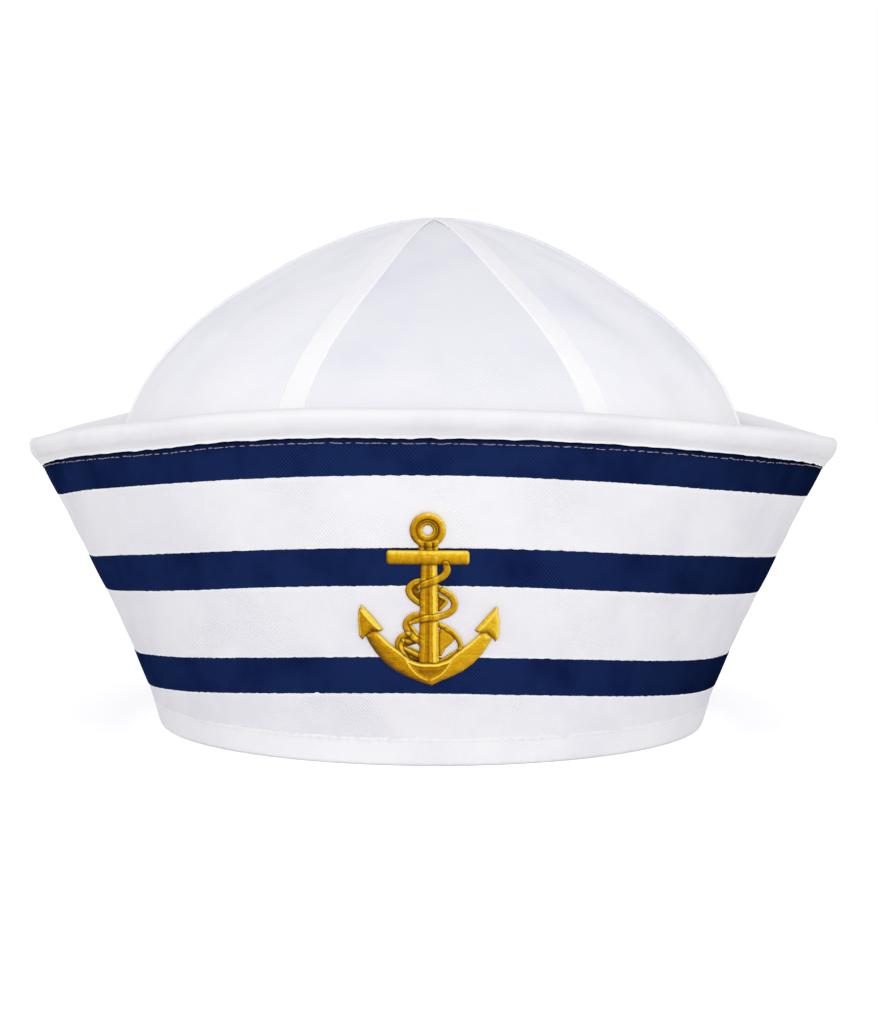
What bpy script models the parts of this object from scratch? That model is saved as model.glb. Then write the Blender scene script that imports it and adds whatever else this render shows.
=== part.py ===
"""A sailor cap: a dome of six gores with sewn seam tapes, inside a turned-up brim.

The brim is one wall of doubled cloth that leans out, with three ribbons let into it, a padded
roll along its rim, a hem band that the cap rests on and an embroidered fouled anchor in front.
Lengths are metres. +Z is up, the front faces -Y, and the origin is the middle of the footprint.
An azimuth is 0 at the front, 90 degrees at +X and 180 degrees at the back.
"""
from collections import namedtuple
from math import pi, radians

import bmesh
import bpy
import numpy as np

# The brim's outer face: half sizes at the floor and at the rim, and the rim's heights
HEM_HALF_WIDTH = 0.0855
HEM_HALF_LENGTH = 0.1016
RIM_HALF_WIDTH = 0.1254
RIM_HALF_LENGTH = 0.1390
RIM_HEIGHT_FRONT = 0.1004
RIM_HEIGHT_SIDE = 0.0898
RIM_HEIGHT_BACK = 0.1096

# The wall leans out by this share of its height at the hem, and settles to its full lean above
HEM_LEAN = 0.2285
LEAN_SETTLES_OVER = 0.0151

# Cloth and sewing
WALL_THICKNESS = 0.0022
GORE_THICKNESS = 0.0010
TAPE_THICKNESS = 0.0010
RIBBON_THICKNESS = 0.0010
RIBBON_PROUD = 0.0002
SEWN_GAP = 0.0003
RIBBON_RECESS = RIBBON_THICKNESS + SEWN_GAP - RIBBON_PROUD

# Rim roll: a padded teardrop in section, round above and narrowing to the wall below
ROLL_HEIGHT = 0.0093
ROLL_TOP_DROP = 0.0004
ROLL_HALF_THICKNESS = 0.0032
ROLL_MIDDLE_OUT = -0.0003
ROLL_FULLEST_AT = 0.42
ROLL_STATIONS = 6

# Hem band: its height, and its offsets from the wall's outer face, outward positive
HEM_HEIGHT = 0.0065
HEM_PROUD = 0.0003
HEM_TOP_DEPTH = 0.0040
HEM_FOOT_DEPTH = 0.0032
HEM_EDGE_ROUNDING = 0.0008

# Ribbons: where each begins and ends, measured down the wall from the rim
Ribbon = namedtuple("Ribbon", "upper lower")
RIBBONS = (
    Ribbon(upper=ROLL_HEIGHT + SEWN_GAP, lower=0.0199),
    Ribbon(upper=0.0411, lower=0.0524),
    Ribbon(upper=0.0740, lower=0.0851),
)

# Crown: its level sections from the top down, as half sizes at a height
Section = namedtuple("Section", "half_width half_length height")
CROWN_ASPECT = 1.165
CROWN_TOP = 0.1573
CROWN_SECTIONS = (
    Section(half_width=0.0000, half_length=0.0000, height=CROWN_TOP),
    Section(half_width=0.0182, half_length=0.0182 * CROWN_ASPECT, height=0.1551),
    Section(half_width=0.0384, half_length=0.0384 * CROWN_ASPECT, height=0.1477),
    Section(half_width=0.0579, half_length=0.0579 * CROWN_ASPECT, height=0.1364),
    Section(half_width=0.0741, half_length=0.0741 * CROWN_ASPECT, height=0.1248),
    Section(half_width=0.0862, half_length=0.0862 * CROWN_ASPECT, height=0.1120),
    Section(half_width=0.0935, half_length=0.0935 * CROWN_ASPECT, height=0.0992),
    Section(half_width=0.0973, half_length=0.1132, height=0.0870),
    Section(half_width=0.0981, half_length=0.1140, height=0.0740),
    Section(half_width=0.0962, half_length=0.1123, height=0.0560),
    Section(half_width=0.0917, half_length=0.1078, height=0.0320),
    Section(half_width=0.0845, half_length=0.1005, height=HEM_HEIGHT + SEWN_GAP),
)

# Seams: azimuth at the hem, and the line that each draws towards as it climbs above the rim
Seam = namedtuple("Seam", "azimuth drawn_to")
SEAMS = (
    Seam(azimuth=-25.0, drawn_to=0.0),
    Seam(azimuth=29.5, drawn_to=0.0),
    Seam(azimuth=84.0, drawn_to=66.0),
    Seam(azimuth=150.0, drawn_to=180.0),
    Seam(azimuth=209.0, drawn_to=180.0),
    Seam(azimuth=272.0, drawn_to=294.0),
)
SEAM_DRAW = 0.45
SEAM_DRAW_POWER = 1.5
SEAM_DRAW_FROM = 0.0967

# Gores lie flatter between their seams, and a few hold a soft fold from top to hem
GORE_FLATTENING = 0.0012
Fold = namedtuple("Fold", "gore place_above place_below half_width depth")
FOLDS = (
    Fold(gore=2, place_above=0.25, place_below=0.60, half_width=0.10, depth=0.0014),
    Fold(gore=4, place_above=0.45, place_below=0.55, half_width=0.13, depth=0.0010),
    Fold(gore=5, place_above=0.70, place_below=0.40, half_width=0.11, depth=0.0011),
    Fold(gore=6, place_above=0.60, place_below=0.45, half_width=0.12, depth=0.0012),
)

# Tapes: their widths at the foot and the top, and the section at which they stop in the brim.
# One runs through from the front-right seam over the top to the back-left one
TAPE_HALF_WIDTH_BELOW = 0.0050
TAPE_HALF_WIDTH_ABOVE = 0.0022
TAPE_FOOT_SECTION = 10.0
TAPE_LEAST_WIDTH = 0.0010
TAPE_END_GAP = 0.0005
TAPE_STRAIGHT_TO = 2.0
THROUGH_FRONT = SEAMS[1]
THROUGH_BACK = SEAMS[4]
ENDING_SEAMS = (SEAMS[0], SEAMS[2], SEAMS[3], SEAMS[5])

# Anchor badge: its middle line, its ring's middle below the rim, and its lift off the cloth
BADGE_MIDDLE_X = -0.0005
BADGE_RING_DROP = 0.0358
BADGE_LIFT = 0.0005
BADGE_SLICE_ACROSS = 0.004
BADGE_SLICE_DOWN = 0.012
BADGE_MERGE = 0.00003

# The anchor's straight and round forms, down from the ring's middle
ANCHOR_RING_RADIUS = 0.0033
ANCHOR_RING_HALF_WIDTH = 0.0017
ANCHOR_NECK_HALF_WIDTH = 0.0025
ANCHOR_STOCK_REACH = 0.0111
ANCHOR_STOCK_DROP = 0.0082
ANCHOR_STOCK_HALF_WIDTH = 0.0019
ANCHOR_SHANK_HALF_WIDTH = 0.0021
ANCHOR_SHANK_END = 0.0405
ROPE_HALF_WIDTH = 0.0008

# How far each form stands off the badge's back
ANCHOR_HEIGHT = 0.0018
STOCK_HEIGHT = 0.0021
FLUKE_HEIGHT = 0.0022
ROPE_HEIGHT = 0.0024

# Section of the anchor's strips, as shares of half width and height
DOME_PROFILE = ((-1.0, 0.0), (-0.78, 0.66), (0.0, 1.0), (0.78, 0.66), (1.0, 0.0))

# Half of the arms, from their middle out: places on the middle line and half widths
ArmStation = namedtuple("ArmStation", "across down half_width")
ARM_STATIONS = (
    ArmStation(across=0.0, down=0.0427, half_width=0.0033),
    ArmStation(across=0.0053, down=0.0406, half_width=0.0025),
    ArmStation(across=0.0103, down=0.0371, half_width=0.0022),
    ArmStation(across=0.0136, down=0.0335, half_width=0.0019),
    ArmStation(across=0.0155, down=0.0306, half_width=0.0015),
)

# The right fluke's outline; the left one mirrors it
Spot = namedtuple("Spot", "across down")
FLUKE_OUTLINE = (
    Spot(across=0.0182, down=0.0222),
    Spot(across=0.0124, down=0.0299),
    Spot(across=0.0156, down=0.0309),
    Spot(across=0.0188, down=0.0323),
)

# The rope's runs in front of the shank and beside it; what lies behind the shank is hidden
ROPE_RUNS = (
    (Spot(0.0045, 0.0100), Spot(0.0042, 0.0129), Spot(0.0022, 0.0149), Spot(-0.0026, 0.0165),
     Spot(-0.0052, 0.0173), Spot(-0.0054, 0.0194), Spot(-0.0020, 0.0216)),
    (Spot(0.0015, 0.0158), Spot(0.0046, 0.0179), Spot(0.0070, 0.0204), Spot(0.0060, 0.0241),
     Spot(0.0000, 0.0261), Spot(-0.0053, 0.0265), Spot(-0.0062, 0.0291), Spot(-0.0022, 0.0326)),
    (Spot(-0.0055, 0.0301), Spot(-0.0079, 0.0320), Spot(-0.0085, 0.0341), Spot(-0.0074, 0.0372)),
    (Spot(0.0015, 0.0276), Spot(0.0057, 0.0297), Spot(0.0079, 0.0323), Spot(0.0083, 0.0365)),
)

# How finely the round forms are divided
RING_SEGMENTS = 56
GORE_COLUMNS = 8
CROWN_TOP_ROWS = (0.1, 0.25, 0.5)
CROWN_EVEN_ROWS_FROM = 0.8
CROWN_EVEN_ROWS = 15
ANCHOR_RING_SEGMENTS = 14
ROPE_STEPS_PER_SPOT = 3
ARM_STEPS_PER_STATION = 2
ARC_SAMPLES = 240
NORMAL_STEP = 0.01
SHARP_FROM = radians(40.0)

AZIMUTHS = np.linspace(0.0, 2.0 * pi, RING_SEGMENTS, endpoint=False)

# Finishes, with colours as linear values
Finish = namedtuple("Finish", "name colour roughness metallic")
WHITE_TWILL = Finish(name="white_twill", colour=(0.80, 0.80, 0.84), roughness=0.85, metallic=0.0)
WHITE_TAPE = Finish(name="white_tape", colour=(0.88, 0.88, 0.90), roughness=0.80, metallic=0.0)
NAVY_RIBBON = Finish(name="navy_ribbon", colour=(0.006, 0.013, 0.060), roughness=0.75, metallic=0.0)
GOLD_THREAD = Finish(name="gold_thread", colour=(0.64, 0.36, 0.02), roughness=0.45, metallic=0.3)


def clear_scene():
    """Remove whatever the scene holds."""
    for thing in list(bpy.data.objects):
        bpy.data.objects.remove(thing, do_unlink=True)


def make_material(finish):
    """A Principled material of one colour."""
    material = bpy.data.materials.new(finish.name)
    material.use_nodes = True
    shader = material.node_tree.nodes["Principled BSDF"]
    shader.inputs["Base Color"].default_value = (*finish.colour, 1.0)
    shader.inputs["Roughness"].default_value = finish.roughness
    shader.inputs["Metallic"].default_value = finish.metallic
    return material


def add_piece(name, corners, faces, material, parent):
    """One closed solid as a named object, its faces turned outward."""
    mesh = bpy.data.meshes.new(name)
    mesh.from_pydata([tuple(corner) for corner in corners], [], faces)
    form = bmesh.new()
    form.from_mesh(mesh)
    bmesh.ops.recalc_face_normals(form, faces=form.faces)
    form.to_mesh(mesh)
    form.free()
    mesh.shade_smooth()
    mesh.set_sharp_from_angle(angle=SHARP_FROM)
    mesh.materials.append(material)
    piece = bpy.data.objects.new(name, mesh)
    piece.parent = parent
    bpy.context.collection.objects.link(piece)
    return piece


def ring_faces(segments, corners):
    """Faces of a ring whose section has a number of corners, swept through its segments."""
    faces = []
    for segment in range(segments):
        here = segment * corners
        ahead = (segment + 1) % segments * corners
        for corner in range(corners):
            beside = (corner + 1) % corners
            faces.append((here + corner, ahead + corner, ahead + beside, here + beside))
    return faces


def add_ring(name, section, material, parent):
    """A closed ring from an array of sections: segments, corners, xyz."""
    segments, corners, _ = section.shape
    faces = ring_faces(segments, corners)
    return add_piece(name, section.reshape(-1, 3), faces, material, parent)


def add_shell(name, outer, inner, material, parent):
    """A closed sheet between two grids of points, each rows by columns by xyz."""
    rows, columns, _ = outer.shape
    count = rows * columns
    faces = []
    for row in range(rows - 1):
        for column in range(columns - 1):
            first = row * columns + column
            quad = (first, first + 1, first + columns + 1, first + columns)
            faces.append(quad)
            faces.append(tuple(count + corner for corner in reversed(quad)))
    rim = list(range(columns))
    rim += [row * columns + columns - 1 for row in range(1, rows)]
    rim += [(rows - 1) * columns + column for column in range(columns - 2, -1, -1)]
    rim += [row * columns for row in range(rows - 2, 0, -1)]
    for here, ahead in zip(rim, rim[1:] + rim[:1]):
        faces.append((ahead, here, count + here, count + ahead))
    corners = np.concatenate([outer.reshape(-1, 3), inner.reshape(-1, 3)])
    return add_piece(name, corners, faces, material, parent)


def rim_height(azimuth):
    """Height of the rim: a saddle, lowest at the sides and highest at the back."""
    forward = np.cos(azimuth)
    end = np.where(forward > 0.0, RIM_HEIGHT_FRONT, RIM_HEIGHT_BACK)
    return RIM_HEIGHT_SIDE + (end - RIM_HEIGHT_SIDE) * forward ** 2


def brim_frame(azimuth, height):
    """A point of the brim's outer face, its level outward direction and its lean there."""
    across = np.sin(azimuth)
    along = -np.cos(azimuth)
    spread_width = RIM_HALF_WIDTH - HEM_HALF_WIDTH
    spread_length = RIM_HALF_LENGTH - HEM_HALF_LENGTH
    reach = np.hypot(spread_width * across, spread_length * along)
    rim = rim_height(azimuth)
    settled = LEAN_SETTLES_OVER * (1.0 - np.exp(-rim / LEAN_SETTLES_OVER))
    full_lean = (reach - HEM_LEAN * settled) / (rim - settled)
    fading = np.exp(-height / LEAN_SETTLES_OVER)
    bend = (full_lean - HEM_LEAN) * LEAN_SETTLES_OVER * (1.0 - fading)
    share = (full_lean * height - bend) / reach
    half_width = HEM_HALF_WIDTH + spread_width * share
    half_length = HEM_HALF_LENGTH + spread_length * share
    flat = np.zeros_like(share)
    point = np.stack([half_width * across, half_length * along, flat + height], axis=-1)
    outward = np.stack([half_length * across, half_width * along, flat], axis=-1)
    outward /= np.linalg.norm(outward, axis=-1, keepdims=True)
    lean = full_lean - (full_lean - HEM_LEAN) * fading
    return point, outward, lean


def brim_point(azimuth, height, offset):
    """A point at a height, a distance out from the brim's outer face, measured square to it."""
    point, outward, lean = brim_frame(azimuth, height)
    level = offset * np.sqrt(1.0 + lean ** 2)
    return point + outward * level[..., None]


def height_below_rim(azimuth, distance):
    """Height of the outer face's points a distance down the wall from the rim."""
    heights = rim_height(azimuth)[:, None] * np.linspace(1.0, 0.0, ARC_SAMPLES)
    points, _, _ = brim_frame(azimuth[:, None], heights)
    steps = np.linalg.norm(np.diff(points, axis=1), axis=2)
    run = np.concatenate([np.zeros((len(azimuth), 1)), np.cumsum(steps, axis=1)], axis=1)
    return np.array([np.interp(distance, *line) for line in zip(run, heights)])


def brim_section(corners):
    """Sections all round the brim from pairs of heights and offsets."""
    level = np.ones(RING_SEGMENTS)
    return np.stack([brim_point(AZIMUTHS, height * level, offset) for height, offset in corners], axis=1)


def build_brim_wall(material, parent):
    """The wall, with its three recesses outside; the first opens under the roll."""
    top = height_below_rim(AZIMUTHS, ROLL_HEIGHT + SEWN_GAP)
    foot = HEM_HEIGHT + SEWN_GAP
    corners = [(top, -RIBBON_RECESS)]
    for index, ribbon in enumerate(RIBBONS):
        if index:
            upper = height_below_rim(AZIMUTHS, ribbon.upper - SEWN_GAP)
            corners += [(upper, 0.0), (upper, -RIBBON_RECESS)]
        lower = height_below_rim(AZIMUTHS, ribbon.lower + SEWN_GAP)
        corners += [(lower, -RIBBON_RECESS), (lower, 0.0)]
    corners += [(foot, 0.0), (foot, -WALL_THICKNESS)]
    for ribbon in reversed(RIBBONS[1:]):
        corners.append((height_below_rim(AZIMUTHS, ribbon.upper), -WALL_THICKNESS))
    corners.append((top, -WALL_THICKNESS))
    return add_ring("brim_wall", brim_section(corners), material, parent)


def build_ribbon(number, ribbon, material, parent):
    """A ribbon in its recess, standing just proud of the wall."""
    upper = height_below_rim(AZIMUTHS, ribbon.upper)
    lower = height_below_rim(AZIMUTHS, ribbon.lower)
    back = RIBBON_PROUD - RIBBON_THICKNESS
    corners = [(upper, RIBBON_PROUD), (lower, RIBBON_PROUD), (lower, back), (upper, back)]
    return add_ring(f"stripe_ribbon_{number}", brim_section(corners), material, parent)


def roll_half_thickness(share):
    """Half the roll's thickness: a round head, then a cosine taper to the wall's own."""
    head = np.clip(1.0 - share / ROLL_FULLEST_AT, 0.0, 1.0)
    tail = np.clip((share - ROLL_FULLEST_AT) / (1.0 - ROLL_FULLEST_AT), 0.0, 1.0)
    swell = 0.5 + 0.5 * np.cos(pi * tail)
    wall_half = WALL_THICKNESS / 2.0
    tapered = wall_half + (ROLL_HALF_THICKNESS - wall_half) * swell
    return np.where(tail > 0.0, tapered, ROLL_HALF_THICKNESS * np.sqrt(1.0 - head ** 2))


def build_rim_roll(material, parent):
    """The padded roll, carried round the rim in a section that leans with the wall."""
    angles = np.linspace(0.0, pi, ROLL_STATIONS + 1)[:-1]
    share = (1.0 - np.cos(angles)) / 2.0
    down = ROLL_TOP_DROP + (ROLL_HEIGHT - ROLL_TOP_DROP) * share
    half = roll_half_thickness(share)
    middle = ROLL_MIDDLE_OUT + (-WALL_THICKNESS / 2.0 - ROLL_MIDDLE_OUT) * share
    rim, outward, lean = brim_frame(AZIMUTHS, rim_height(AZIMUTHS))
    tilt = np.arctan(lean)
    upright = np.array([0.0, 0.0, 1.0])
    face_out = outward * np.cos(tilt)[:, None] - upright * np.sin(tilt)[:, None]
    face_down = -outward * np.sin(tilt)[:, None] - upright * np.cos(tilt)[:, None]
    foot = height_below_rim(AZIMUTHS, ROLL_HEIGHT)
    loops = []
    for drop, out in zip(down, middle + half):
        loops.append(rim + face_down * drop + face_out * out)
    loops.append(brim_point(AZIMUTHS, foot, 0.0))
    loops.append(brim_point(AZIMUTHS, foot, -WALL_THICKNESS))
    for drop, out in list(zip(down, middle - half))[:0:-1]:
        loops.append(rim + face_down * drop + face_out * out)
    return add_ring("rim_roll", np.stack(loops, axis=1), material, parent)


def build_hem_band(material, parent):
    """The hem: a band with a flat foot, under both the wall and the crown."""
    corners = [
        (HEM_HEIGHT, 0.0),
        (HEM_HEIGHT - HEM_EDGE_ROUNDING, HEM_PROUD),
        (2.0 * HEM_EDGE_ROUNDING, HEM_PROUD),
        (HEM_EDGE_ROUNDING / 2.0, 0.0),
        (0.0, -HEM_EDGE_ROUNDING),
        (0.0, HEM_EDGE_ROUNDING - HEM_FOOT_DEPTH),
        (HEM_EDGE_ROUNDING, -HEM_FOOT_DEPTH),
        (HEM_HEIGHT, -HEM_TOP_DEPTH),
    ]
    return add_ring("hem_band", brim_section(corners), material, parent)


def smooth_between(start, near, far, end, part):
    """The Catmull-Rom curve's point a part of the way from near to far."""
    bend = 2.0 * start - 5.0 * near + 4.0 * far - end
    twist = 3.0 * near - start - 3.0 * far + end
    return near + 0.5 * part * (far - start + part * (bend + part * twist))


def crown_section(row):
    """Half sizes and height at a place between the crown's sections, on a smooth curve.

    The curve is a Catmull-Rom spline through the sections, mirrored at the top."""
    knots = np.array(CROWN_SECTIONS)
    before = knots[1] * np.array([-1.0, -1.0, 1.0])
    after = 2.0 * knots[-1] - knots[-2]
    knots = np.vstack([before, knots, after])
    row = np.clip(row, 0.0, len(CROWN_SECTIONS) - 1.0)
    first = np.minimum(row.astype(int), len(CROWN_SECTIONS) - 2)
    place = smooth_between(*(knots[first + step] for step in range(4)), (row - first)[..., None])
    return place[..., 0], place[..., 1], place[..., 2]


def crown_point(azimuth, row, lift):
    """A point of the crown's outer face, raised along its normal by lift."""
    azimuth, row = np.broadcast_arrays(azimuth, row)

    def surface(angle, place):
        half_width, half_length, height = crown_section(place)
        return np.stack([half_width * np.sin(angle), -half_length * np.cos(angle), height], axis=-1)

    near = np.clip(row, 2.0 * NORMAL_STEP, len(CROWN_SECTIONS) - 1.0 - NORMAL_STEP)
    around = surface(azimuth + NORMAL_STEP, near) - surface(azimuth - NORMAL_STEP, near)
    downward = surface(azimuth, near + NORMAL_STEP) - surface(azimuth, near - NORMAL_STEP)
    normal = np.cross(downward, around)
    normal /= np.linalg.norm(normal, axis=-1, keepdims=True)
    lift = np.broadcast_to(lift, row.shape)
    return surface(azimuth, row) + normal * lift[..., None]


def seam_azimuth(seam, row):
    """Azimuth of a seam at each place down the crown, drawn in above the rim."""
    _, _, height = crown_section(row)
    climb = np.clip((height - SEAM_DRAW_FROM) / (CROWN_TOP - SEAM_DRAW_FROM), 0.0, 1.0)
    swing = radians(seam.azimuth - seam.drawn_to)
    return radians(seam.drawn_to) + swing * (1.0 - SEAM_DRAW * climb ** SEAM_DRAW_POWER)


def crown_radius(azimuth, row):
    """How far a point moves for each radian of azimuth."""
    half_width, half_length, _ = crown_section(row)
    return np.hypot(half_width * np.cos(azimuth), half_length * np.sin(azimuth))


def crown_rows():
    """The rows that every piece of the crown shares, so that their facets run alike."""
    even = np.linspace(CROWN_EVEN_ROWS_FROM, len(CROWN_SECTIONS) - 1.0, CROWN_EVEN_ROWS)
    return np.concatenate([CROWN_TOP_ROWS, even])


def gore_sink(number, share, fall):
    """How far a gore lies inside the full surface: its flattening and its folds.

    share runs from one seam to the next, and fall from the top of the gore to its foot."""
    ends = np.sin(pi * fall) ** 0.5
    sink = GORE_FLATTENING * np.sin(pi * share) ** 2 * ends
    for fold in FOLDS:
        if fold.gore == number:
            place = fold.place_above + (fold.place_below - fold.place_above) * fall
            sink = sink + fold.depth * ends * np.exp(-((share - place) / fold.half_width) ** 2)
    return sink


def build_gore(number, material, parent):
    """One gore between its two seams."""
    rows = crown_rows()
    left = SEAMS[number - 1]
    right = SEAMS[number % len(SEAMS)]
    start = seam_azimuth(left, rows)
    end = seam_azimuth(right, rows)
    end = np.where(end < start, end + 2.0 * pi, end)
    start = start + SEWN_GAP / 2.0 / crown_radius(start, rows)
    end = end - SEWN_GAP / 2.0 / crown_radius(end, rows)
    share = np.linspace(0.0, 1.0, GORE_COLUMNS + 1)
    azimuth = start[:, None] + (end - start)[:, None] * share
    fall = np.clip((rows - rows[0]) / (rows[-1] - rows[0]), 0.0, 1.0)
    sink = gore_sink(number, share[None, :], fall[:, None])
    outer = crown_point(azimuth, rows[:, None], -sink)
    inner = crown_point(azimuth, rows[:, None], -sink - GORE_THICKNESS)
    foot = HEM_HEIGHT + SEWN_GAP
    outer[-1, :, 2] = foot
    inner[-1, :, 2] = foot
    return add_shell(f"crown_gore_{number}", outer, inner, material, parent)


def tape_half_width(row):
    """Half the tape's width, narrowing evenly towards the top."""
    share = np.clip(row / TAPE_FOOT_SECTION, 0.0, 1.0)
    return TAPE_HALF_WIDTH_ABOVE + (TAPE_HALF_WIDTH_BELOW - TAPE_HALF_WIDTH_ABOVE) * share


def add_tape(number, azimuth, row, material, parent):
    """A tape from grids of azimuths and rows, just off the gores."""
    under = crown_point(azimuth, row, SEWN_GAP)
    over = crown_point(azimuth, row, SEWN_GAP + TAPE_THICKNESS)
    return add_shell(f"crown_tape_{number}", over, under, material, parent)


def tape_rows():
    """The crown's rows that a tape covers."""
    rows = crown_rows()
    return rows[rows <= TAPE_FOOT_SECTION]


def plan_to_crown(plan):
    """Azimuth and row of the crown's points above places in plan, near the top."""
    row = np.linspace(0.0, TAPE_STRAIGHT_TO, ARC_SAMPLES)
    half_width, _, _ = crown_section(row)
    across = plan[..., 0]
    along = plan[..., 1] / CROWN_ASPECT
    return np.arctan2(across, -along), np.interp(np.hypot(across, along), half_width, row)


def seam_plan(seam, row):
    """Plan place of a seam at a row."""
    return crown_point(seam_azimuth(seam, row), row, 0.0)[..., :2]


def beside_through_tape(row):
    """The level direction square to the through tape, at rows near the top."""
    run = seam_plan(THROUGH_FRONT, row) - seam_plan(THROUGH_BACK, row)
    run /= np.linalg.norm(run, axis=-1, keepdims=True)
    return np.stack([-run[:, 1], run[:, 0]], axis=-1)


def through_tape_side(seam, turn):
    """Azimuths and rows of one side of the through tape, from the top down.

    Low down an edge lies a half width round the crown from the seam; near the top, where
    the azimuths close up, it lies a half width beside the seam in plan."""
    rows = tape_rows()
    edges = np.array([-1.0, 1.0])
    middle = seam_azimuth(seam, rows)
    half = tape_half_width(rows)
    azimuth = middle[:, None] + turn * edges * (half / crown_radius(middle, rows))[:, None]
    row = np.broadcast_to(rows[:, None], azimuth.shape)
    aside = beside_through_tape(rows)[:, None, :] * edges[:, None] * half[:, None, None]
    top_azimuth, top_row = plan_to_crown(seam_plan(seam, rows)[:, None, :] + aside)
    near_top = (rows < TAPE_STRAIGHT_TO / 2.0)[:, None]
    return np.where(near_top, top_azimuth, azimuth), np.where(near_top, top_row, row)


def build_through_tape(material, parent):
    """The tape that runs up the front-right seam, over the top and down the back-left one."""
    front_azimuth, front_row = through_tape_side(THROUGH_FRONT, 1.0)
    back_azimuth, back_row = through_tape_side(THROUGH_BACK, -1.0)
    azimuth = np.concatenate([front_azimuth[::-1], back_azimuth])
    row = np.concatenate([front_row[::-1], back_row])
    return add_tape(1, azimuth, row, material, parent)


def build_ending_tape(number, seam, material, parent):
    """A tape that stops along the edge of the one that runs over the top.

    Where the through tape is near, the edge on its side is held back to stay clear of it."""
    rows = tape_rows()
    middle = seam_azimuth(seam, rows)
    half = tape_half_width(rows)
    beside = beside_through_tape(rows[:1])[0]
    away = seam_plan(seam, rows) @ beside
    side = np.sign(away[-1])
    room = side * away - TAPE_HALF_WIDTH_ABOVE - TAPE_END_GAP
    around = np.stack([np.cos(middle), CROWN_ASPECT * np.sin(middle)], axis=-1)
    around /= np.linalg.norm(around, axis=-1, keepdims=True)
    nearing = side * (around @ beside)
    low = np.where(nearing > 0.0, np.maximum(-half, -room / nearing), -half)
    high = np.where(nearing < 0.0, np.minimum(half, -room / nearing), half)
    kept = (high - low > TAPE_LEAST_WIDTH) & (room > 0.0)
    reach = np.stack([low, high], axis=-1) / crown_radius(middle, rows)[:, None]
    azimuth = (middle[:, None] + reach)[kept]
    row = np.broadcast_to(rows[kept, None], azimuth.shape)
    return add_tape(number, azimuth, row, material, parent)


def smooth_path(knots, steps):
    """A Catmull-Rom curve through rows of numbers, with a number of steps between knots."""
    knots = np.array(knots)
    before = 2.0 * knots[0] - knots[1]
    after = 2.0 * knots[-1] - knots[-2]
    knots = np.vstack([before, knots, after])
    part = np.arange(steps)[:, None] / steps
    pieces = []
    for first in range(len(knots) - 3):
        pieces.append(smooth_between(*knots[first:first + 4], part))
    return np.vstack(pieces + [knots[-2:-1]])


def flat_object(corners, faces):
    """A closed solid in the badge's flat drawing, with its back in the plane of zero height."""
    mesh = bpy.data.meshes.new("flat_form")
    mesh.from_pydata([tuple(corner) for corner in corners], [], faces)
    form = bmesh.new()
    form.from_mesh(mesh)
    bmesh.ops.recalc_face_normals(form, faces=form.faces)
    form.to_mesh(mesh)
    form.free()
    flat = bpy.data.objects.new("flat_form", mesh)
    bpy.context.collection.objects.link(flat)
    return flat


def domed_strip(path, half_width, height, closed=False):
    """A strip with a flat back and a domed front, carried along a path in the drawing."""
    path = np.asarray(path, dtype=float)
    half_width = np.broadcast_to(half_width, len(path))
    if closed:
        run = np.roll(path, -1, axis=0) - np.roll(path, 1, axis=0)
    else:
        run = np.gradient(path, axis=0)
    run /= np.linalg.norm(run, axis=1, keepdims=True)
    beside = np.stack([-run[:, 1], run[:, 0]], axis=1)
    sections = []
    for across, rise in DOME_PROFILE:
        place = path + beside * (half_width * across)[:, None]
        sections.append(np.column_stack([place, np.full(len(path), rise * height)]))
    section = np.stack(sections, axis=1)
    corners = len(DOME_PROFILE)
    faces = ring_faces(len(path), corners)
    if not closed:
        faces = faces[:-corners]
        last = (len(path) - 1) * corners
        faces.append(tuple(range(corners)))
        faces.append(tuple(range(last + corners - 1, last - 1, -1)))
    return flat_object(section.reshape(-1, 3), faces)


def fluke(side):
    """A fluke: an arrowhead with a raised middle."""
    outline = np.array(FLUKE_OUTLINE) * np.array([side, 1.0])
    back = np.column_stack([outline, np.zeros(len(outline))])
    middle = np.append(outline.mean(axis=0), FLUKE_HEIGHT)
    count = len(back)
    faces = [tuple(range(count))]
    faces += [(corner, (corner + 1) % count, count) for corner in range(count)]
    return flat_object(np.vstack([back, middle]), faces)


def anchor_arms():
    """Both arms as one crescent, deepest in the middle."""
    half = smooth_path(ARM_STATIONS, ARM_STEPS_PER_STATION)
    whole = np.vstack([half[:0:-1] * np.array([-1.0, 1.0, 1.0]), half])
    return domed_strip(whole[:, :2], whole[:, 2], ANCHOR_HEIGHT)


def anchor_forms():
    """Every form of the anchor and its rope, still flat."""
    turn = np.linspace(0.0, 2.0 * pi, ANCHOR_RING_SEGMENTS, endpoint=False)
    circle = ANCHOR_RING_RADIUS * np.stack([np.cos(turn), np.sin(turn)], axis=1)
    neck = [(0.0, ANCHOR_RING_RADIUS), (0.0, ANCHOR_STOCK_DROP)]
    stock = [(-ANCHOR_STOCK_REACH, ANCHOR_STOCK_DROP), (ANCHOR_STOCK_REACH, ANCHOR_STOCK_DROP)]
    shank = [(0.0, ANCHOR_STOCK_DROP), (0.0, ANCHOR_SHANK_END)]
    forms = [
        domed_strip(circle, ANCHOR_RING_HALF_WIDTH, ANCHOR_HEIGHT, closed=True),
        domed_strip(neck, ANCHOR_NECK_HALF_WIDTH, ANCHOR_HEIGHT),
        domed_strip(stock, ANCHOR_STOCK_HALF_WIDTH, STOCK_HEIGHT),
        domed_strip(shank, ANCHOR_SHANK_HALF_WIDTH, ANCHOR_HEIGHT),
        anchor_arms(),
        fluke(-1.0),
        fluke(1.0),
    ]
    for run in ROPE_RUNS:
        path = smooth_path(run, ROPE_STEPS_PER_SPOT)
        forms.append(domed_strip(path, ROPE_HALF_WIDTH, ROPE_HEIGHT))
    return forms


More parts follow.
